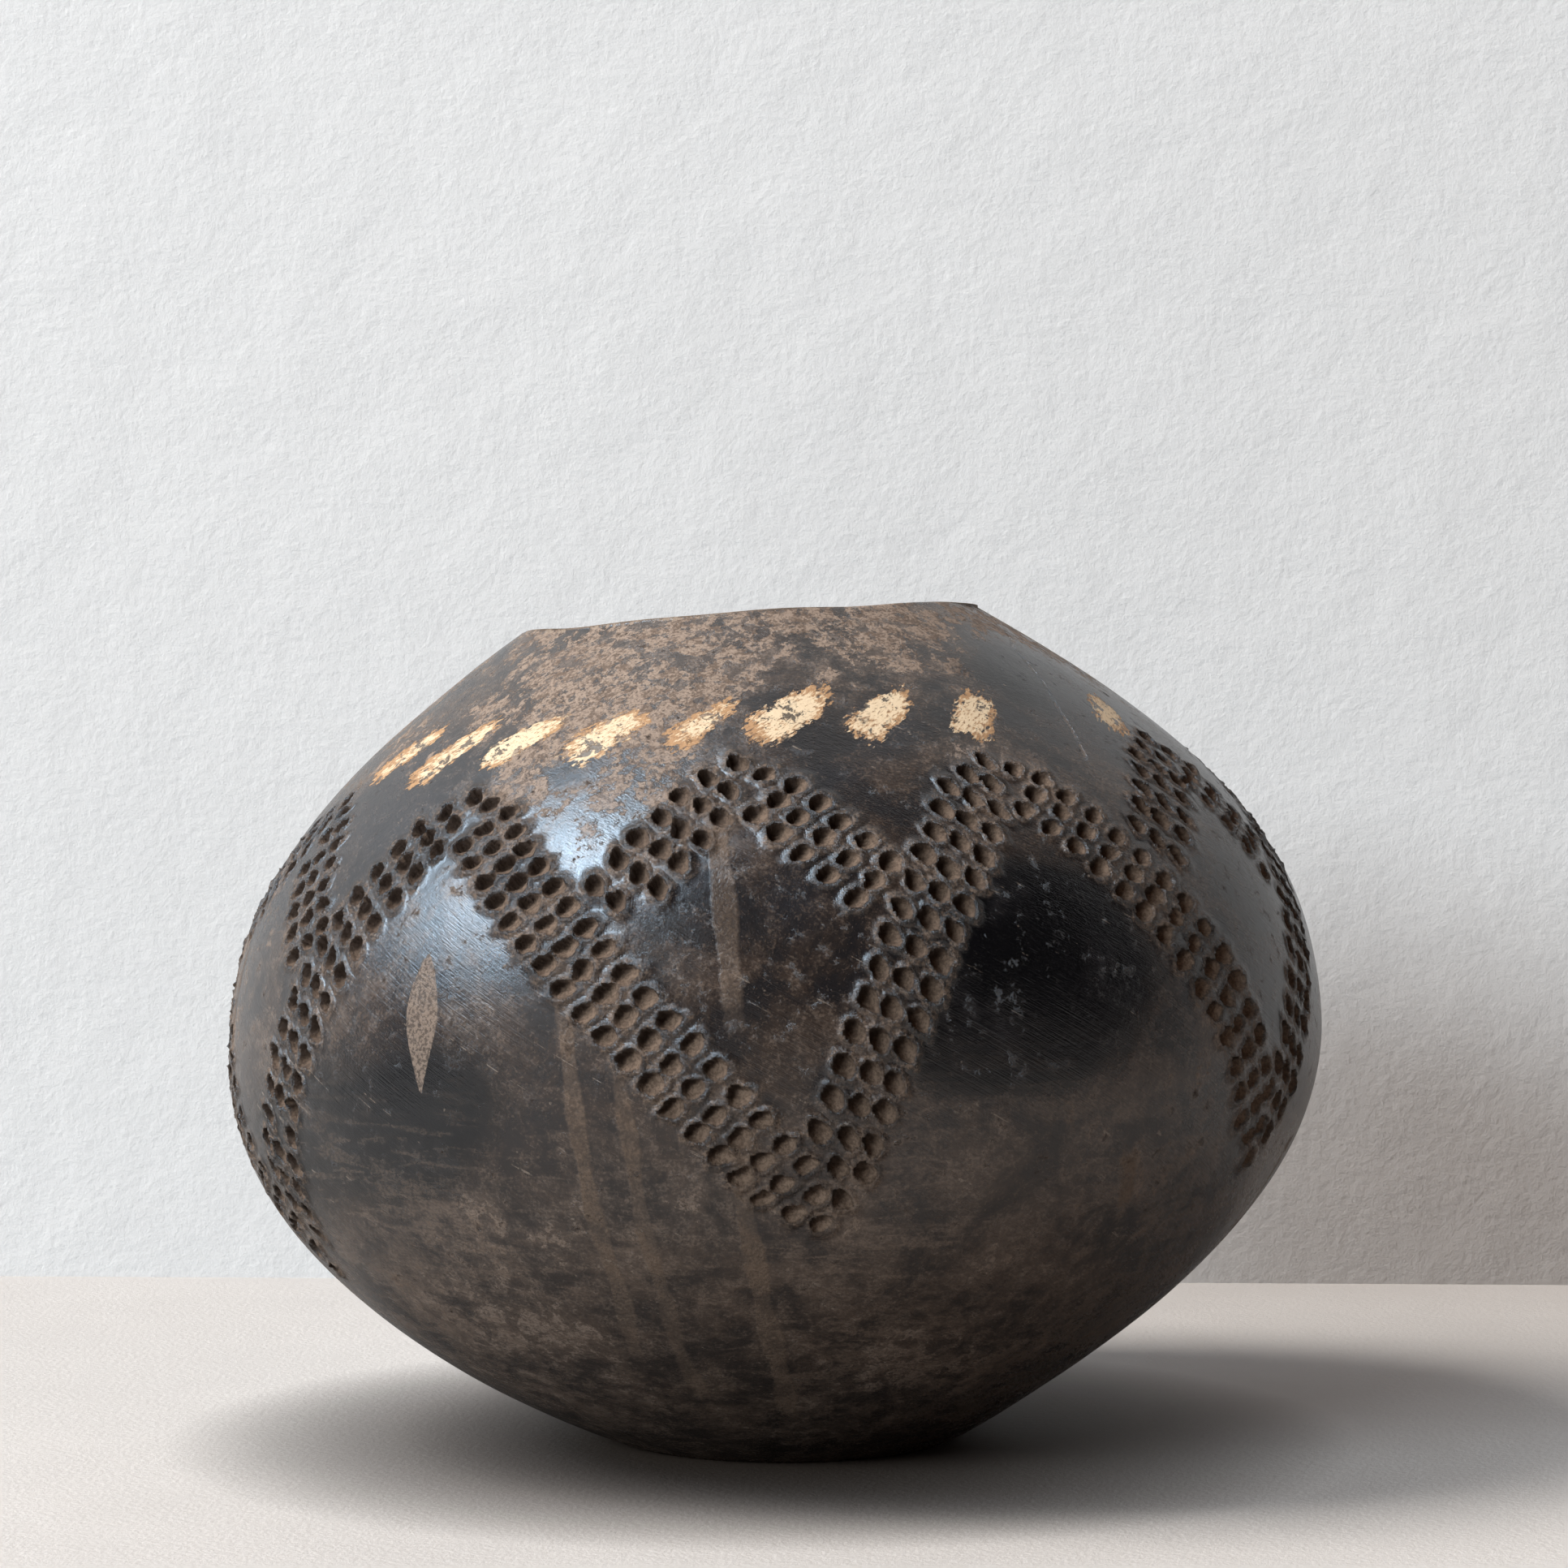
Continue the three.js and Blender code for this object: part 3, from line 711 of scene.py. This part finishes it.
class Paint:
    """The nodes that finish one material, or the world."""

    def __init__(self, owner):
        owner.use_nodes = True
        self.owner, self.tree = owner, owner.node_tree

    def node(self, kind, settings, inputs, output=0):
        """Adds a node with its settings, then the values or links of its sockets, and returns one output."""
        made = self.tree.nodes.new(kind)
        for name, setting in settings.items():
            setattr(made, name, setting)
        self.feed(made, inputs)
        return Value(self, made.outputs[output])

    def feed(self, node, inputs):
        for name, value in inputs.items():
            socket = node.inputs[name]
            if isinstance(value, Value):
                self.tree.links.new(value.socket, socket)
            elif socket.type == "RGBA":
                socket.default_value = (*value, 1)
            else:
                socket.default_value = value

    def coat(self, inputs):
        """Sets the material's own shader, and returns it."""
        shader = self.tree.nodes["Principled BSDF"]
        self.feed(shader, inputs)
        return Value(self, shader.outputs[0])

    def show(self, shader):
        """Sends a shader to the output of the material or the world."""
        output = next(node for node in self.tree.nodes if "Surface" in node.inputs)
        self.feed(output, {"Surface": shader})

    def place(self):
        return self.node("ShaderNodeTexCoord", {}, {}, "Object")

    def attribute(self, name):
        return self.node("ShaderNodeAttribute", {"attribute_name": name}, {}, "Fac")

    def rays(self, *kinds):
        """For each kind of ray, 1 where the ray is of that kind."""
        return [self.node("ShaderNodeLightPath", {}, {}, f"Is {kind} Ray") for kind in kinds]

    def scaled(self, vector, scale):
        return self.node("ShaderNodeMapping", {"vector_type": "POINT"}, {"Vector": vector, "Scale": scale})

    def turned(self, vector, angle):
        inputs = {"Vector": vector, "Angle": angle}
        return self.node("ShaderNodeVectorRotate", {"rotation_type": "Z_AXIS"}, inputs)

    def noise(self, vector, scale, detail=4.0, rough=0.55, swirl=0.0):
        inputs = {"Vector": vector, "Scale": scale, "Detail": detail, "Roughness": rough, "Distortion": swirl}
        return self.node("ShaderNodeTexNoise", {"noise_dimensions": "3D"}, inputs, "Fac")

    def cells(self, vector, scale):
        inputs = {"Vector": vector, "Scale": scale}
        return self.node("ShaderNodeTexVoronoi", {"feature": "F1"}, inputs, "Distance")

    def bump(self, height, strength, distance):
        return self.node("ShaderNodeBump", {}, {"Height": height, "Strength": strength, "Distance": distance})

    def blend(self, share, first, second):
        """Mixes two colours."""
        settings = {"data_type": "RGBA", "clamp_factor": True}
        return self.node("ShaderNodeMix", settings, {0: share, 6: first, 7: second}, 2)

    def layered(self, ground, layers):
        """Lays colours over a ground, each by its share."""
        for share, colour in layers:
            ground = self.blend(share, ground, colour)
        return ground

    def mixed(self, share, first, second):
        """Mixes two shaders."""
        return self.node("ShaderNodeMixShader", {}, {0: share, 1: first, 2: second})


def clay_finish(name, look):
    """Smoke-blackened, burnished clay with its bloom, dribbles, scuffs, dusty stab marks and worn rim."""
    paint = Paint(bpy.data.materials.new(name))
    place = paint.place()
    up, inner, hollow, ramp, ridge = map(paint.attribute, ("up", "inner", "hollow", "ramp", "ridge"))
    dusted, smoked, cleaned, dripped, leafed, lined, slipped = map(paint.attribute, STAINS)
    wound = paint.turned(place, up * 10)
    wound_back = paint.turned(place, up * -6.7)
    strokes = paint.noise(paint.scaled(wound, (1, 1, 0.07)), 620, 3, 0.6)
    fine_strokes = paint.noise(paint.scaled(wound, (1, 1, 0.05)), 1500, 2, 0.6)
    level_strokes = paint.noise(paint.scaled(place, (1, 1, 7)), 42, 6, 0.65, 0.8)
    cloud = paint.noise(place, 15, 5, 0.6, 0.4)
    mottle = paint.noise(place, 48, 9, 0.72, 0.3)
    flake = paint.noise(place, 190, 8, 0.75, 0.2)
    crust = paint.noise(place, 480, 4, 0.6)
    grit = paint.noise(place, 1100, 3, 0.6)
    fine_grit = paint.noise(place, 2400, 2, 0.6)
    # The same noises swinging either side of 0, to fray the edges of what they are added to.
    clouding, mottling, flaking, gritting = cloud - 0.5, mottle - 0.5, flake - 0.5, grit - 0.5
    speckled = grit.step(0.4, 0.58)

    # Where the burnish is scuffed low down, smoked black or clean.
    lower = 1 - up.step(0.235, 0.3)
    scuffed = 1 - (up + 0.08 * clouding + 0.05 * mottling).step(0.11, 0.2)
    smoky = (smoked + 0.9 * clouding + 0.5 * mottling).step(0.25, 0.6)
    clean = (cleaned + 0.5 * mottling + 0.3 * flaking).step(0.3, 0.7)
    ash = (mottle + 0.4 * flaking + 0.4 * clouding).step(0.54, 0.76) * smoky

    # Bloom: patches with flaked edges, thick where the vertex values say so, in a thin haze.
    field = dusted + 1.7 * mottling + 1.3 * flaking + 0.6 * clouding
    holes = paint.noise(place, 330, 5, 0.65).step(0.55, 0.59)
    wide_holes = (paint.noise(place, 130, 6, 0.62, 0.6) + 0.35 * clouding).step(0.56, 0.58)
    bloom = field.step(0.45, 0.5) * (1 - 0.9 * holes.larger(wide_holes))
    bloom_share = bloom * (0.72 + 0.28 * speckled) * (1 - 0.5 * lower) * (1 - 0.8 * smoky)
    bloom_colour = paint.blend((flake + 0.5 * gritting).step(0.42, 0.58), look.bloom_dark, look.bloom)
    haze = field.step(0.0, 0.6) * (0.1 + 0.32 * speckled * flake.step(0.42, 0.58))
    haze = haze * (1 - 0.15 * lower) * (1 - 0.8 * smoky) * (1 - 0.7 * clean)

    # Smudges, dribbles, the bare leaf, dusting, the scored line, scratches and specks of grit.
    smudge = (level_strokes + 0.5 * flaking + 0.4 * clouding).step(0.5, 0.68) * (1 - up.step(0.12, 0.2))
    ragged = (dripped + 0.9 * flaking + 0.5 * mottling).step(0.2, 0.75)
    dribble = ragged * (0.45 + 0.55 * (mottle + 0.7 * flaking + 0.5 * clouding).step(0.38, 0.62))
    leaf = (leafed + 0.8 * flaking + 0.5 * mottling).step(0.42, 0.6)
    dusting = (grit + 0.5 * mottling + 0.3 * flaking).step(0.52, 0.68) * (1 - smoky)
    scored = (lined + 0.5 * (crust - 0.5)).step(0.72, 0.9) * flake.step(0.42, 0.5)
    scratch = paint.noise(paint.scaled(wound, (1, 1, 0.03)), 420, 2, 0.5, 0.3).step(0.68, 0.72)
    scratch = scratch * flake.step(0.5, 0.6)
    specks = (1 - paint.cells(place, 150).step(0.04, 0.09)) * flake.step(0.5, 0.58)

    # Worn dabs of pale slip.
    slanted = paint.noise(paint.scaled(wound_back, (1, 1, 0.1)), 420, 5, 0.7)
    streaks = paint.noise(paint.scaled(wound_back, (1, 1, 0.06)), 900, 3, 0.65)
    dab = slipped + 2.2 * (slanted - 0.5) + 0.9 * mottling + 0.7 * flaking
    clinging = 1 - paint.noise(place, 170, 7, 0.7, 0.4).step(0.56, 0.59)
    fleck = dab.step(0.0, 0.06) * (0.15 + 0.85 * clinging)
    near_edge = 1 - slipped.step(0.1, 0.5)
    stained = (mottle + 0.9 * (streaks - 0.5) + 0.6 * clouding + 0.14 * near_edge).step(0.46, 0.62)
    slip_colour = paint.blend(stained, look.slip, look.slip_dark)
    dirty = (streaks + 0.5 * gritting).step(0.56, 0.68) * 0.55
    slip_colour = paint.blend(dirty, slip_colour, look.bloom_dark)

    # Stab marks: dusty ramps, painted shade on their steep sides, dust in patches between. Their edges are
    # ragged.
    torn = hollow + 0.7 * flaking
    dust = torn.step(0.05, 0.16)
    ramp = ramp * (1 - 0.5 * torn.step(0.6, 1.0))
    # Painted shade: the steep sides and bottoms of the marks take a darker dust, the gentle ramps the paler
    # dust.
    dust_with_painted_shade = paint.blend(ramp * (0.5 + 0.5 * speckled), look.dust_in_painted_shade, look.dust)
    bare = (crust + 0.5 * flaking).step(0.48, 0.55)
    between = ridge.step(0.1, 0.5) * (0.25 + 0.75 * (flake + 0.6 * mottling).step(0.45, 0.55))
    between = between * (1 - 0.8 * bare)

    # The rim's worn edge, and the matt inside.
    worn = up.step(0.3503, 0.3515) * flake.step(0.5, 0.6)
    inside_colour = paint.blend(mottle.step(0.35, 0.65) * 0.6, look.inside, look.brown)

    ground = paint.layered(look.burnished, (
        (mottle.step(0.38, 0.62), look.brown),
        ((flake + 0.5 * clouding).step(0.52, 0.66) * 0.6, look.brown),
        (scuffed * (0.12 + 0.2 * mottle.step(0.4, 0.6)), look.bloom_dark),
        (clean * 0.85, look.slate),
        (smoky, look.black),
        (ash * 0.6, look.slate),
        (haze * 0.75, look.bloom),
        (bloom_share, bloom_colour),
        (smudge * (0.25 + 0.4 * speckled), look.bloom_dark),
        (dribble * (0.55 + 0.4 * speckled), look.drip),
        (leaf * (0.2 + 0.35 * speckled), look.bloom),
        (dusting * 0.3, look.bloom_dark),
        (scored * 0.28, look.bloom),
        (specks.larger(scratch) * 0.6, look.dust_pale),
        (fleck, slip_colour),
        (between * (0.3 + 0.5 * speckled), look.dust),
        (dust, dust_with_painted_shade),
        (inner, inside_colour),
        (worn * 0.8, look.worn_edge),
    ))
    rough = look.roughness + 0.2 * clouding + 0.13 * (strokes - 0.5) + 0.25 * mottling
    rough = (rough - 0.02 * ridge - 0.05 * smoky).clipped()
    matt = bloom * (0.85 - 0.35 * lower) + smudge * 0.3 + 0.3 * haze
    for share in (dribble * 0.85, leaf * 0.8, fleck * 0.85, inner, dust, between * 0.6, scuffed * 0.45):
        matt = matt.larger(share)
    matt = matt.clipped()

    relief = 0.06 * strokes + 0.1 * fine_strokes + 0.02 * level_strokes + 0.4 * mottle
    relief += (0.12 * matt + 0.15 * dribble + 0.045) * grit + 0.03 * fine_grit + 0.08 * bloom * flake
    relief += dust * (0.3 * grit + 0.8 * flake - 0.5) + ridge * (1.1 * flake + 0.9 * crust)
    relief += 0.12 * fleck - 0.5 * scored
    both = {"Base Color": ground, "Normal": paint.bump(relief, 1.0, 0.001)}
    burnish = paint.coat({**both, "Roughness": rough, "IOR": BURNISH_IOR})
    dusty = {**both, "Roughness": MATT_ROUGHNESS, "Specular IOR Level": MATT_SPECULAR}
    paint.show(paint.mixed(matt, burnish, paint.node("ShaderNodeBsdfPrincipled", {}, dusty)))
    return paint.owner


def length(name, description, default):
    return FloatProperty(name=name, description=description, default=default, unit="LENGTH")


def power(name, description, default):
    return FloatProperty(name=name, description=description, default=default, unit="POWER")


def colour(name, description, default):
    return FloatVectorProperty(
        name=name, description=description, default=default, subtype="COLOR", min=0, max=1,
    )


class PotShape(PropertyGroup):
    """The pot's sizes."""

    pot_height: length("Pot Height", "Foot to rim, at the axis", 0.256)
    foot_radius: length("Foot Radius", "Of the flat foot", 0.0525)
    belly_radius: length("Belly Radius", "At the widest level", 0.17)
    belly_height: length("Belly Height", "Of the widest level", 0.124)
    mouth_radius: length("Mouth Radius", "Outside the rim", 0.0708)
    wall_thickness: length("Wall", "Thickness of the wall", 0.0085)
    base_thickness: length("Base", "Thickness of the pad", 0.011)
    rim_thickness: length("Rim", "Thickness of the wall at the rim", 0.005)


class BandShape(PropertyGroup):
    """The stab marks and their spacing."""

    stab_width: length("Stab Width", "Across one mark", 0.0072)
    stab_height: length("Stab Height", "Up one mark", 0.0068)
    stab_depth: length("Stab Depth", "At a mark's deepest", 0.0034)
    lip_height: length("Lip Height", "Of the clay pushed up", 0.00045)
    row_pitch: length("Row Pitch", "Between rows of marks", 0.0092)
    lane_pitch: length("Lane Pitch", "Between lanes of marks", 0.0077)


class ClayLook(PropertyGroup):
    """The clay's colours and sheen."""

    burnished: colour("Burnished", "Burnished clay", (0.0125, 0.0108, 0.0112))
    brown: colour("Brown", "Browner burnished clay", (0.036, 0.023, 0.0165))
    slate: colour("Slate", "Clean burnish with a slate cast", (0.0155, 0.0155, 0.0185))
    black: colour("Black", "Where the smoke was thickest", (0.0025, 0.0022, 0.0025))
    bloom: colour("Bloom", "Dusty brown bloom", (0.37, 0.285, 0.228))
    bloom_dark: colour("Dark Bloom", "Its darker patches", (0.17, 0.122, 0.092))
    drip: colour("Dribble", "Dried dribbles", (0.16, 0.113, 0.082))
    dust: colour("Dust", "Dust in the stab marks", (0.2, 0.142, 0.104))
    # Painted shade: the darker colour of the stab marks' steep sides and bottoms, as if shaded.
    dust_in_painted_shade: colour("Dust In Painted Shade", "The bottoms of the stab marks", (0.045, 0.03, 0.022))
    dust_pale: colour("Pale Specks", "Specks of grit", (0.3, 0.24, 0.19))
    slip: colour("Slip", "Worn dabs of pale slip", (0.78, 0.62, 0.43))
    slip_dark: colour("Stained Slip", "Their stained parts", (0.46, 0.27, 0.14))
    inside: colour("Inside", "The matt inside", (0.22, 0.165, 0.125))
    worn_edge: colour("Worn Edge", "The rim's worn edge", (0.33, 0.26, 0.2))
    roughness: FloatProperty(
        name="Roughness", description="Of the burnish", default=0.26, min=0, max=1, subtype="FACTOR",
    )


class StageLook(PropertyGroup):
    """The floor, the backdrop, the lamps and the camera."""

    floor: colour("Floor", "Colour of the floor", (0.715, 0.69, 0.675))
    backdrop: colour("Backdrop", "Colour of the backdrop", (0.845, 0.845, 0.845))
    backdrop_distance: length("Backdrop", "Behind the axis", 0.352)
    window_power: power("Window", "Power of the window", 840.0)
    shine_power: power("Shine", "What the burnish mirrors of the window", 480.0)
    glow_power: power("Glow", "What the burnish mirrors of the bright wall round the window", 600.0)
    door_power: power("Door", "Power of the open door", 465.0)
    door_glow: power("Door Glow", "What the burnish mirrors of the door", 30.0)
    fill: FloatProperty(name="Fill", description="Strength of the soft light all round", default=0.12)
    camera_place: FloatVectorProperty(
        name="Camera", description="Where the camera stands", default=(0, -1.27, 0.221),
        subtype="TRANSLATION", unit="LENGTH",
    )
    camera_pitch: FloatProperty(
        name="Pitch", description="Camera tilt below level", default=0.0133, subtype="ANGLE",
    )
    lens: FloatProperty(name="Lens", description="Focal length in millimetres", default=92.9)


def finish_piece(piece, node):
    """Gives a piece the finish of its node's record slot, made once, and lets it stand in for the node."""
    slots = {part["node"]: part["material_slot"] for part in frame["record"]["subparts"]}
    name = slots[node].replace("_", " ")
    material = bpy.data.materials.get(name) or clay_finish(name, bpy.context.scene.clay_look)
    piece.data.materials.clear()
    piece.data.materials.append(material)
    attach(piece, "root")
    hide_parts(node)


def build_course(node, profile, columns, band, closed=True):
    piece = spun(node + "_clay", profile, columns, closed)
    shape_course(piece, profile, columns, band)
    finish_piece(piece, node)


class POT_OT_base_pad(Operator):
    """Builds the pad that the pot stands on, with its edge turned up"""

    bl_idname = "clay_pot.base_pad"
    bl_label = "Base Pad"

    def execute(self, context):
        wall = Wall(context.scene.pot_shape)
        base = context.scene.pot_shape.base_thickness
        profile = Profile(wall)
        foot = context.scene.pot_shape.foot_radius
        under = np.linspace(0, foot, 15)[:-1]
        hollow = FOOT_HOLLOW * smooth(0.8 * foot - under, 0, 0.03)
        profile.add(np.stack([under, hollow], -1), 0, "under")
        profile.outside(np.linspace(0, PAD_EDGE, 13))
        profile.joint(PAD_EDGE, -JOINT_SET_BACK)
        seat_up = PAD_EDGE - LAP_DROP
        profile.inside([seat_up])
        seat = profile.points[-1]
        share = np.linspace(0, 1, 20)[1:]
        floor = np.stack([seat[0] * (1 - share), mix(seat[1], base, smooth(share, 0, 0.35))], -1)
        profile.add(floor, seat_up * (1 - share), "floor")
        build_course("base_pad", profile, PLAIN_COLUMNS, Band(wall, context.scene.band_shape), closed=False)
        return {"FINISHED"}


class POT_OT_wall_coils(Operator):
    """Builds the eight coils of the wall, five of them stabbed with the zigzag band"""

    bl_idname = "clay_pot.wall_coils"
    bl_label = "Wall Coils"

    def execute(self, context):
        wall = Wall(context.scene.pot_shape)
        band = Band(wall, context.scene.band_shape)
        for number, node in enumerate(COURSES):
            low = PAD_EDGE + number * wall.course
            high = PAD_EDGE + (number + 1) * wall.course
            columns, rows = (FINE_COLUMNS, FINE_ROWS) if node in STABBED else (PLAIN_COLUMNS, PLAIN_ROWS)
            profile = Profile(wall)
            profile.outside(np.linspace(low, high, rows + 1))
            profile.joint(high, -JOINT_SET_BACK)
            profile.inside(np.linspace(high - LAP_DROP, low - LAP_DROP, INSIDE_ROWS + 1))
            profile.joint(low, JOINT_SET_BACK)
            build_course(node, profile, columns, band)
        return {"FINISHED"}


class POT_OT_rim_coil(Operator):
    """Builds the last coil, thinned and cut level, with its edges rubbed round"""

    bl_idname = "clay_pot.rim_coil"
    bl_label = "Rim Coil"

    def execute(self, context):
        shape = context.scene.pot_shape
        wall = Wall(shape)
        low = wall.length - RIM_COURSE
        profile = Profile(wall)
        profile.outside(np.linspace(low, wall.length - RIM_ROUND, 24))
        start = profile.points[-1]
        mouth = np.array((shape.mouth_radius, shape.pot_height))
        land = mouth - (RIM_ROUND, 0)
        inner_edge = mouth - (RIM_LAND, 0)
        corner = inner_edge - (0.0006, 0)
        low_edge = wall.length - RIM_INNER_ROUND
        tail = wall.inside([low_edge], wall.thickness(np.array([low_edge])))[0]
        share = np.linspace(0, 1, 6)[1:, None]
        profile.add(bent(start, mouth, land, share), wall.length, "land")
        profile.add([mix(land, inner_edge, 0.35), mix(land, inner_edge, 0.7)], wall.length, "land")
        profile.add(bent(inner_edge, corner, tail, share), wall.length, "land")
        profile.inside(np.linspace(low_edge - 0.0015, low - LAP_DROP, 12))
        profile.joint(low, JOINT_SET_BACK)
        build_course("rim_coil", profile, PLAIN_COLUMNS, Band(wall, context.scene.band_shape))
        return {"FINISHED"}


def stage_plane(name, place, turn, material):
    deselect_all()
    bpy.ops.mesh.primitive_plane_add(size=STAGE_SIZE, location=place, rotation=turn)
    plane = bpy.context.object
    plane.name = plane.data.name = name
    plane.data.materials.append(material)


def seen_or_thrown(paint, seen, mirrored_share):
    """The colour as the camera sees it, darker for what the burnish mirrors and what lights matt parts."""
    by_camera, by_mirror = paint.rays("Camera", "Glossy")
    thrown, mirrored = (paint.blend(share, (0, 0, 0), seen) for share in (BOUNCE, mirrored_share))
    return paint.blend(by_camera, paint.blend(by_mirror, thrown, mirrored), seen)


def floor_finish(look):
    """A plain pale floor, with a dark contact shade in the narrow gap round the foot."""
    paint = Paint(bpy.data.materials.new("pale floor"))
    place = paint.place()
    tone = 0.6 * paint.noise(place, 3.5, 4, 0.6) + 0.4 * paint.noise(place, 22, 5, 0.6)
    pale = paint.blend(tone.step(0.35, 0.65), look.floor, [c * 0.94 for c in look.floor])
    away = paint.node("ShaderNodeVectorMath", {"operation": "LENGTH"}, {0: place}, 1)
    open_share = paint.node("ShaderNodeAmbientOcclusion", {"samples": 12}, {"Distance": CONTACT_REACH}, "AO")
    shade = (1 - away.step(*CONTACT_END)) * (1 - open_share * open_share)
    pale = paint.blend(shade, pale, CONTACT_SHADE)
    grain_height = paint.noise(place, 420, 5, 0.7) + 0.5 * paint.noise(place, 60, 5, 0.6)
    colour = seen_or_thrown(paint, pale, FLOOR_MIRRORED)
    paint.coat({"Base Color": colour, "Roughness": 0.7, "Normal": paint.bump(grain_height, 0.45, 0.001)})
    return paint.owner


def backdrop_finish(look):
    """A plain pale plaster wall, which can be looked through from behind."""
    paint = Paint(bpy.data.materials.new("pale plaster"))
    place = paint.place()
    tone = paint.noise(place, 2.5, 3, 0.6)
    pale = paint.blend(tone.step(0.35, 0.65), look.backdrop, [c * 0.97 for c in look.backdrop])
    plaster = paint.noise(place, 22, 7, 0.6, 0.1) + 0.3 * paint.noise(place, 260, 5, 0.7)
    colour = seen_or_thrown(paint, pale, BACKDROP_MIRRORED)
    plain = paint.coat({"Base Color": colour, "Roughness": 0.85, "Normal": paint.bump(plaster, 1.0, 0.0014)})
    back = paint.node("ShaderNodeNewGeometry", {}, {}, "Backfacing")
    paint.show(paint.mixed(back, plain, paint.node("ShaderNodeBsdfTransparent", {}, {})))
    return paint.owner


class POT_OT_stage(Operator):
    """Sets the floor, the backdrop, the lamps, the room's soft light and the camera"""

    bl_idname = "clay_pot.stage"
    bl_label = "Stage"

    def execute(self, context):
        look = context.scene.stage_look
        backdrop_place = (0, look.backdrop_distance, 0)
        stage_plane("floor", (0, 0, 0), (0, 0, 0), floor_finish(look))
        stage_plane("backdrop", backdrop_place, (math.pi / 2, 0, BACKDROP_TURN), backdrop_finish(look))
        self.light(look)
        self.room(look)
        self.camera(context, look)
        return {"FINISHED"}

    def light(self, look):
        """Adds the lamps: some light the matt surfaces, and the others are only mirrored by the burnish."""
        for lamp in (
            ("window", "matt", -79, 48, 9.0, (3.6, 4.4), look.window_power, (1.0, 0.94, 0.87)),
            ("window shine", "burnish", -70.5, 48, 6.5, (2.6, 3.2), look.shine_power, (0.7, 0.86, 1.0)),
            ("window glow", "burnish", -84, 48, 6.5, (4.4, 4.0), look.glow_power, (0.56, 0.77, 1.0)),
            ("open door", "matt", -41, 19, 7.5, (4.2, 2.0), look.door_power, (0.86, 0.945, 1.0)),
            ("door glow", "burnish", -40, 24, 5.0, (2.3, 1.9), look.door_glow, (1.0, 0.97, 0.95)),
        ):
            self.soft_light(*lamp)

    @staticmethod
    def soft_light(name, lit, turn, rise, distance, size, power, tint):
        """Adds an area lamp, turn degrees from the camera's side and rise degrees up."""
        turn, rise = math.radians(turn), math.radians(rise)
        away = Vector((math.sin(turn) * math.cos(rise), -math.cos(turn) * math.cos(rise), math.sin(rise)))
        bpy.ops.object.light_add(type="AREA", location=LAMP_AIM + distance * away)
        lamp = bpy.context.object
        lamp.name = name
        lamp.data.shape = "RECTANGLE"
        lamp.data.size, lamp.data.size_y = size
        lamp.data.energy = power
        lamp.data.color = tint
        lamp.rotation_euler = away.to_track_quat("Z", "Y").to_euler()
        lamp.visible_camera = False
        lamp.visible_diffuse, lamp.visible_glossy = lit == "matt", lit == "burnish"

    def room(self, look):
        """Fills the room with soft light, where the camera sees the backdrop's colour."""
        room = bpy.data.worlds.new("room")
        bpy.context.scene.world = room
        paint = Paint(room)
        fill, seen, mirrored = (
            paint.node("ShaderNodeBackground", {}, {"Color": tint, "Strength": strength})
            for tint, strength in (
                (FILL_COLOUR, look.fill), (look.backdrop, 1),
                (MIRRORED_FILL, MIRRORED_FILL_SHARE * look.fill),
            )
        )
        by_camera, by_mirror = paint.rays("Camera", "Glossy")
        paint.show(paint.mixed(by_mirror, paint.mixed(by_camera, fill, seen), mirrored))

    def camera(self, context, look):
        bpy.ops.object.camera_add(location=look.camera_place)
        camera = bpy.context.object
        camera.rotation_euler = (math.pi / 2 - look.camera_pitch, 0, 0)
        camera.data.lens = look.lens
        camera.data.sensor_width = 36
        context.scene.camera = camera
        context.scene.view_settings.view_transform = "Standard"


class POT_PT_panel(Panel):
    """Lists the pot's parts and sizes"""

    bl_label = "Clay Pot"
    bl_idname = "POT_PT_panel"
    bl_space_type = "VIEW_3D"
    bl_region_type = "UI"
    bl_category = "Clay Pot"

    def draw(self, context):
        for operator in OPERATORS:
            self.layout.operator(operator.bl_idname)
        for group in GROUPS:
            box = self.layout.box()
            values = getattr(context.scene, group)
            for name in values.__annotations__:
                box.prop(values, name)


GROUPS = {"pot_shape": PotShape, "band_shape": BandShape, "clay_look": ClayLook, "stage_look": StageLook}
OPERATORS = (POT_OT_base_pad, POT_OT_wall_coils, POT_OT_rim_coil, POT_OT_stage)


def register():
    for name, group in GROUPS.items():
        bpy.utils.register_class(group)
        setattr(bpy.types.Scene, name, PointerProperty(type=group))
    for kind in (*OPERATORS, POT_PT_panel):
        bpy.utils.register_class(kind)


def unregister():
    for kind in (POT_PT_panel, *reversed(OPERATORS)):
        bpy.utils.unregister_class(kind)
    for name, group in GROUPS.items():
        delattr(bpy.types.Scene, name)
        bpy.utils.unregister_class(group)


def main():
    register()
    for operator in OPERATORS:
        category, name = operator.bl_idname.split(".")
        getattr(getattr(bpy.ops, category), name)()


if __name__ == "__main__":
    main()
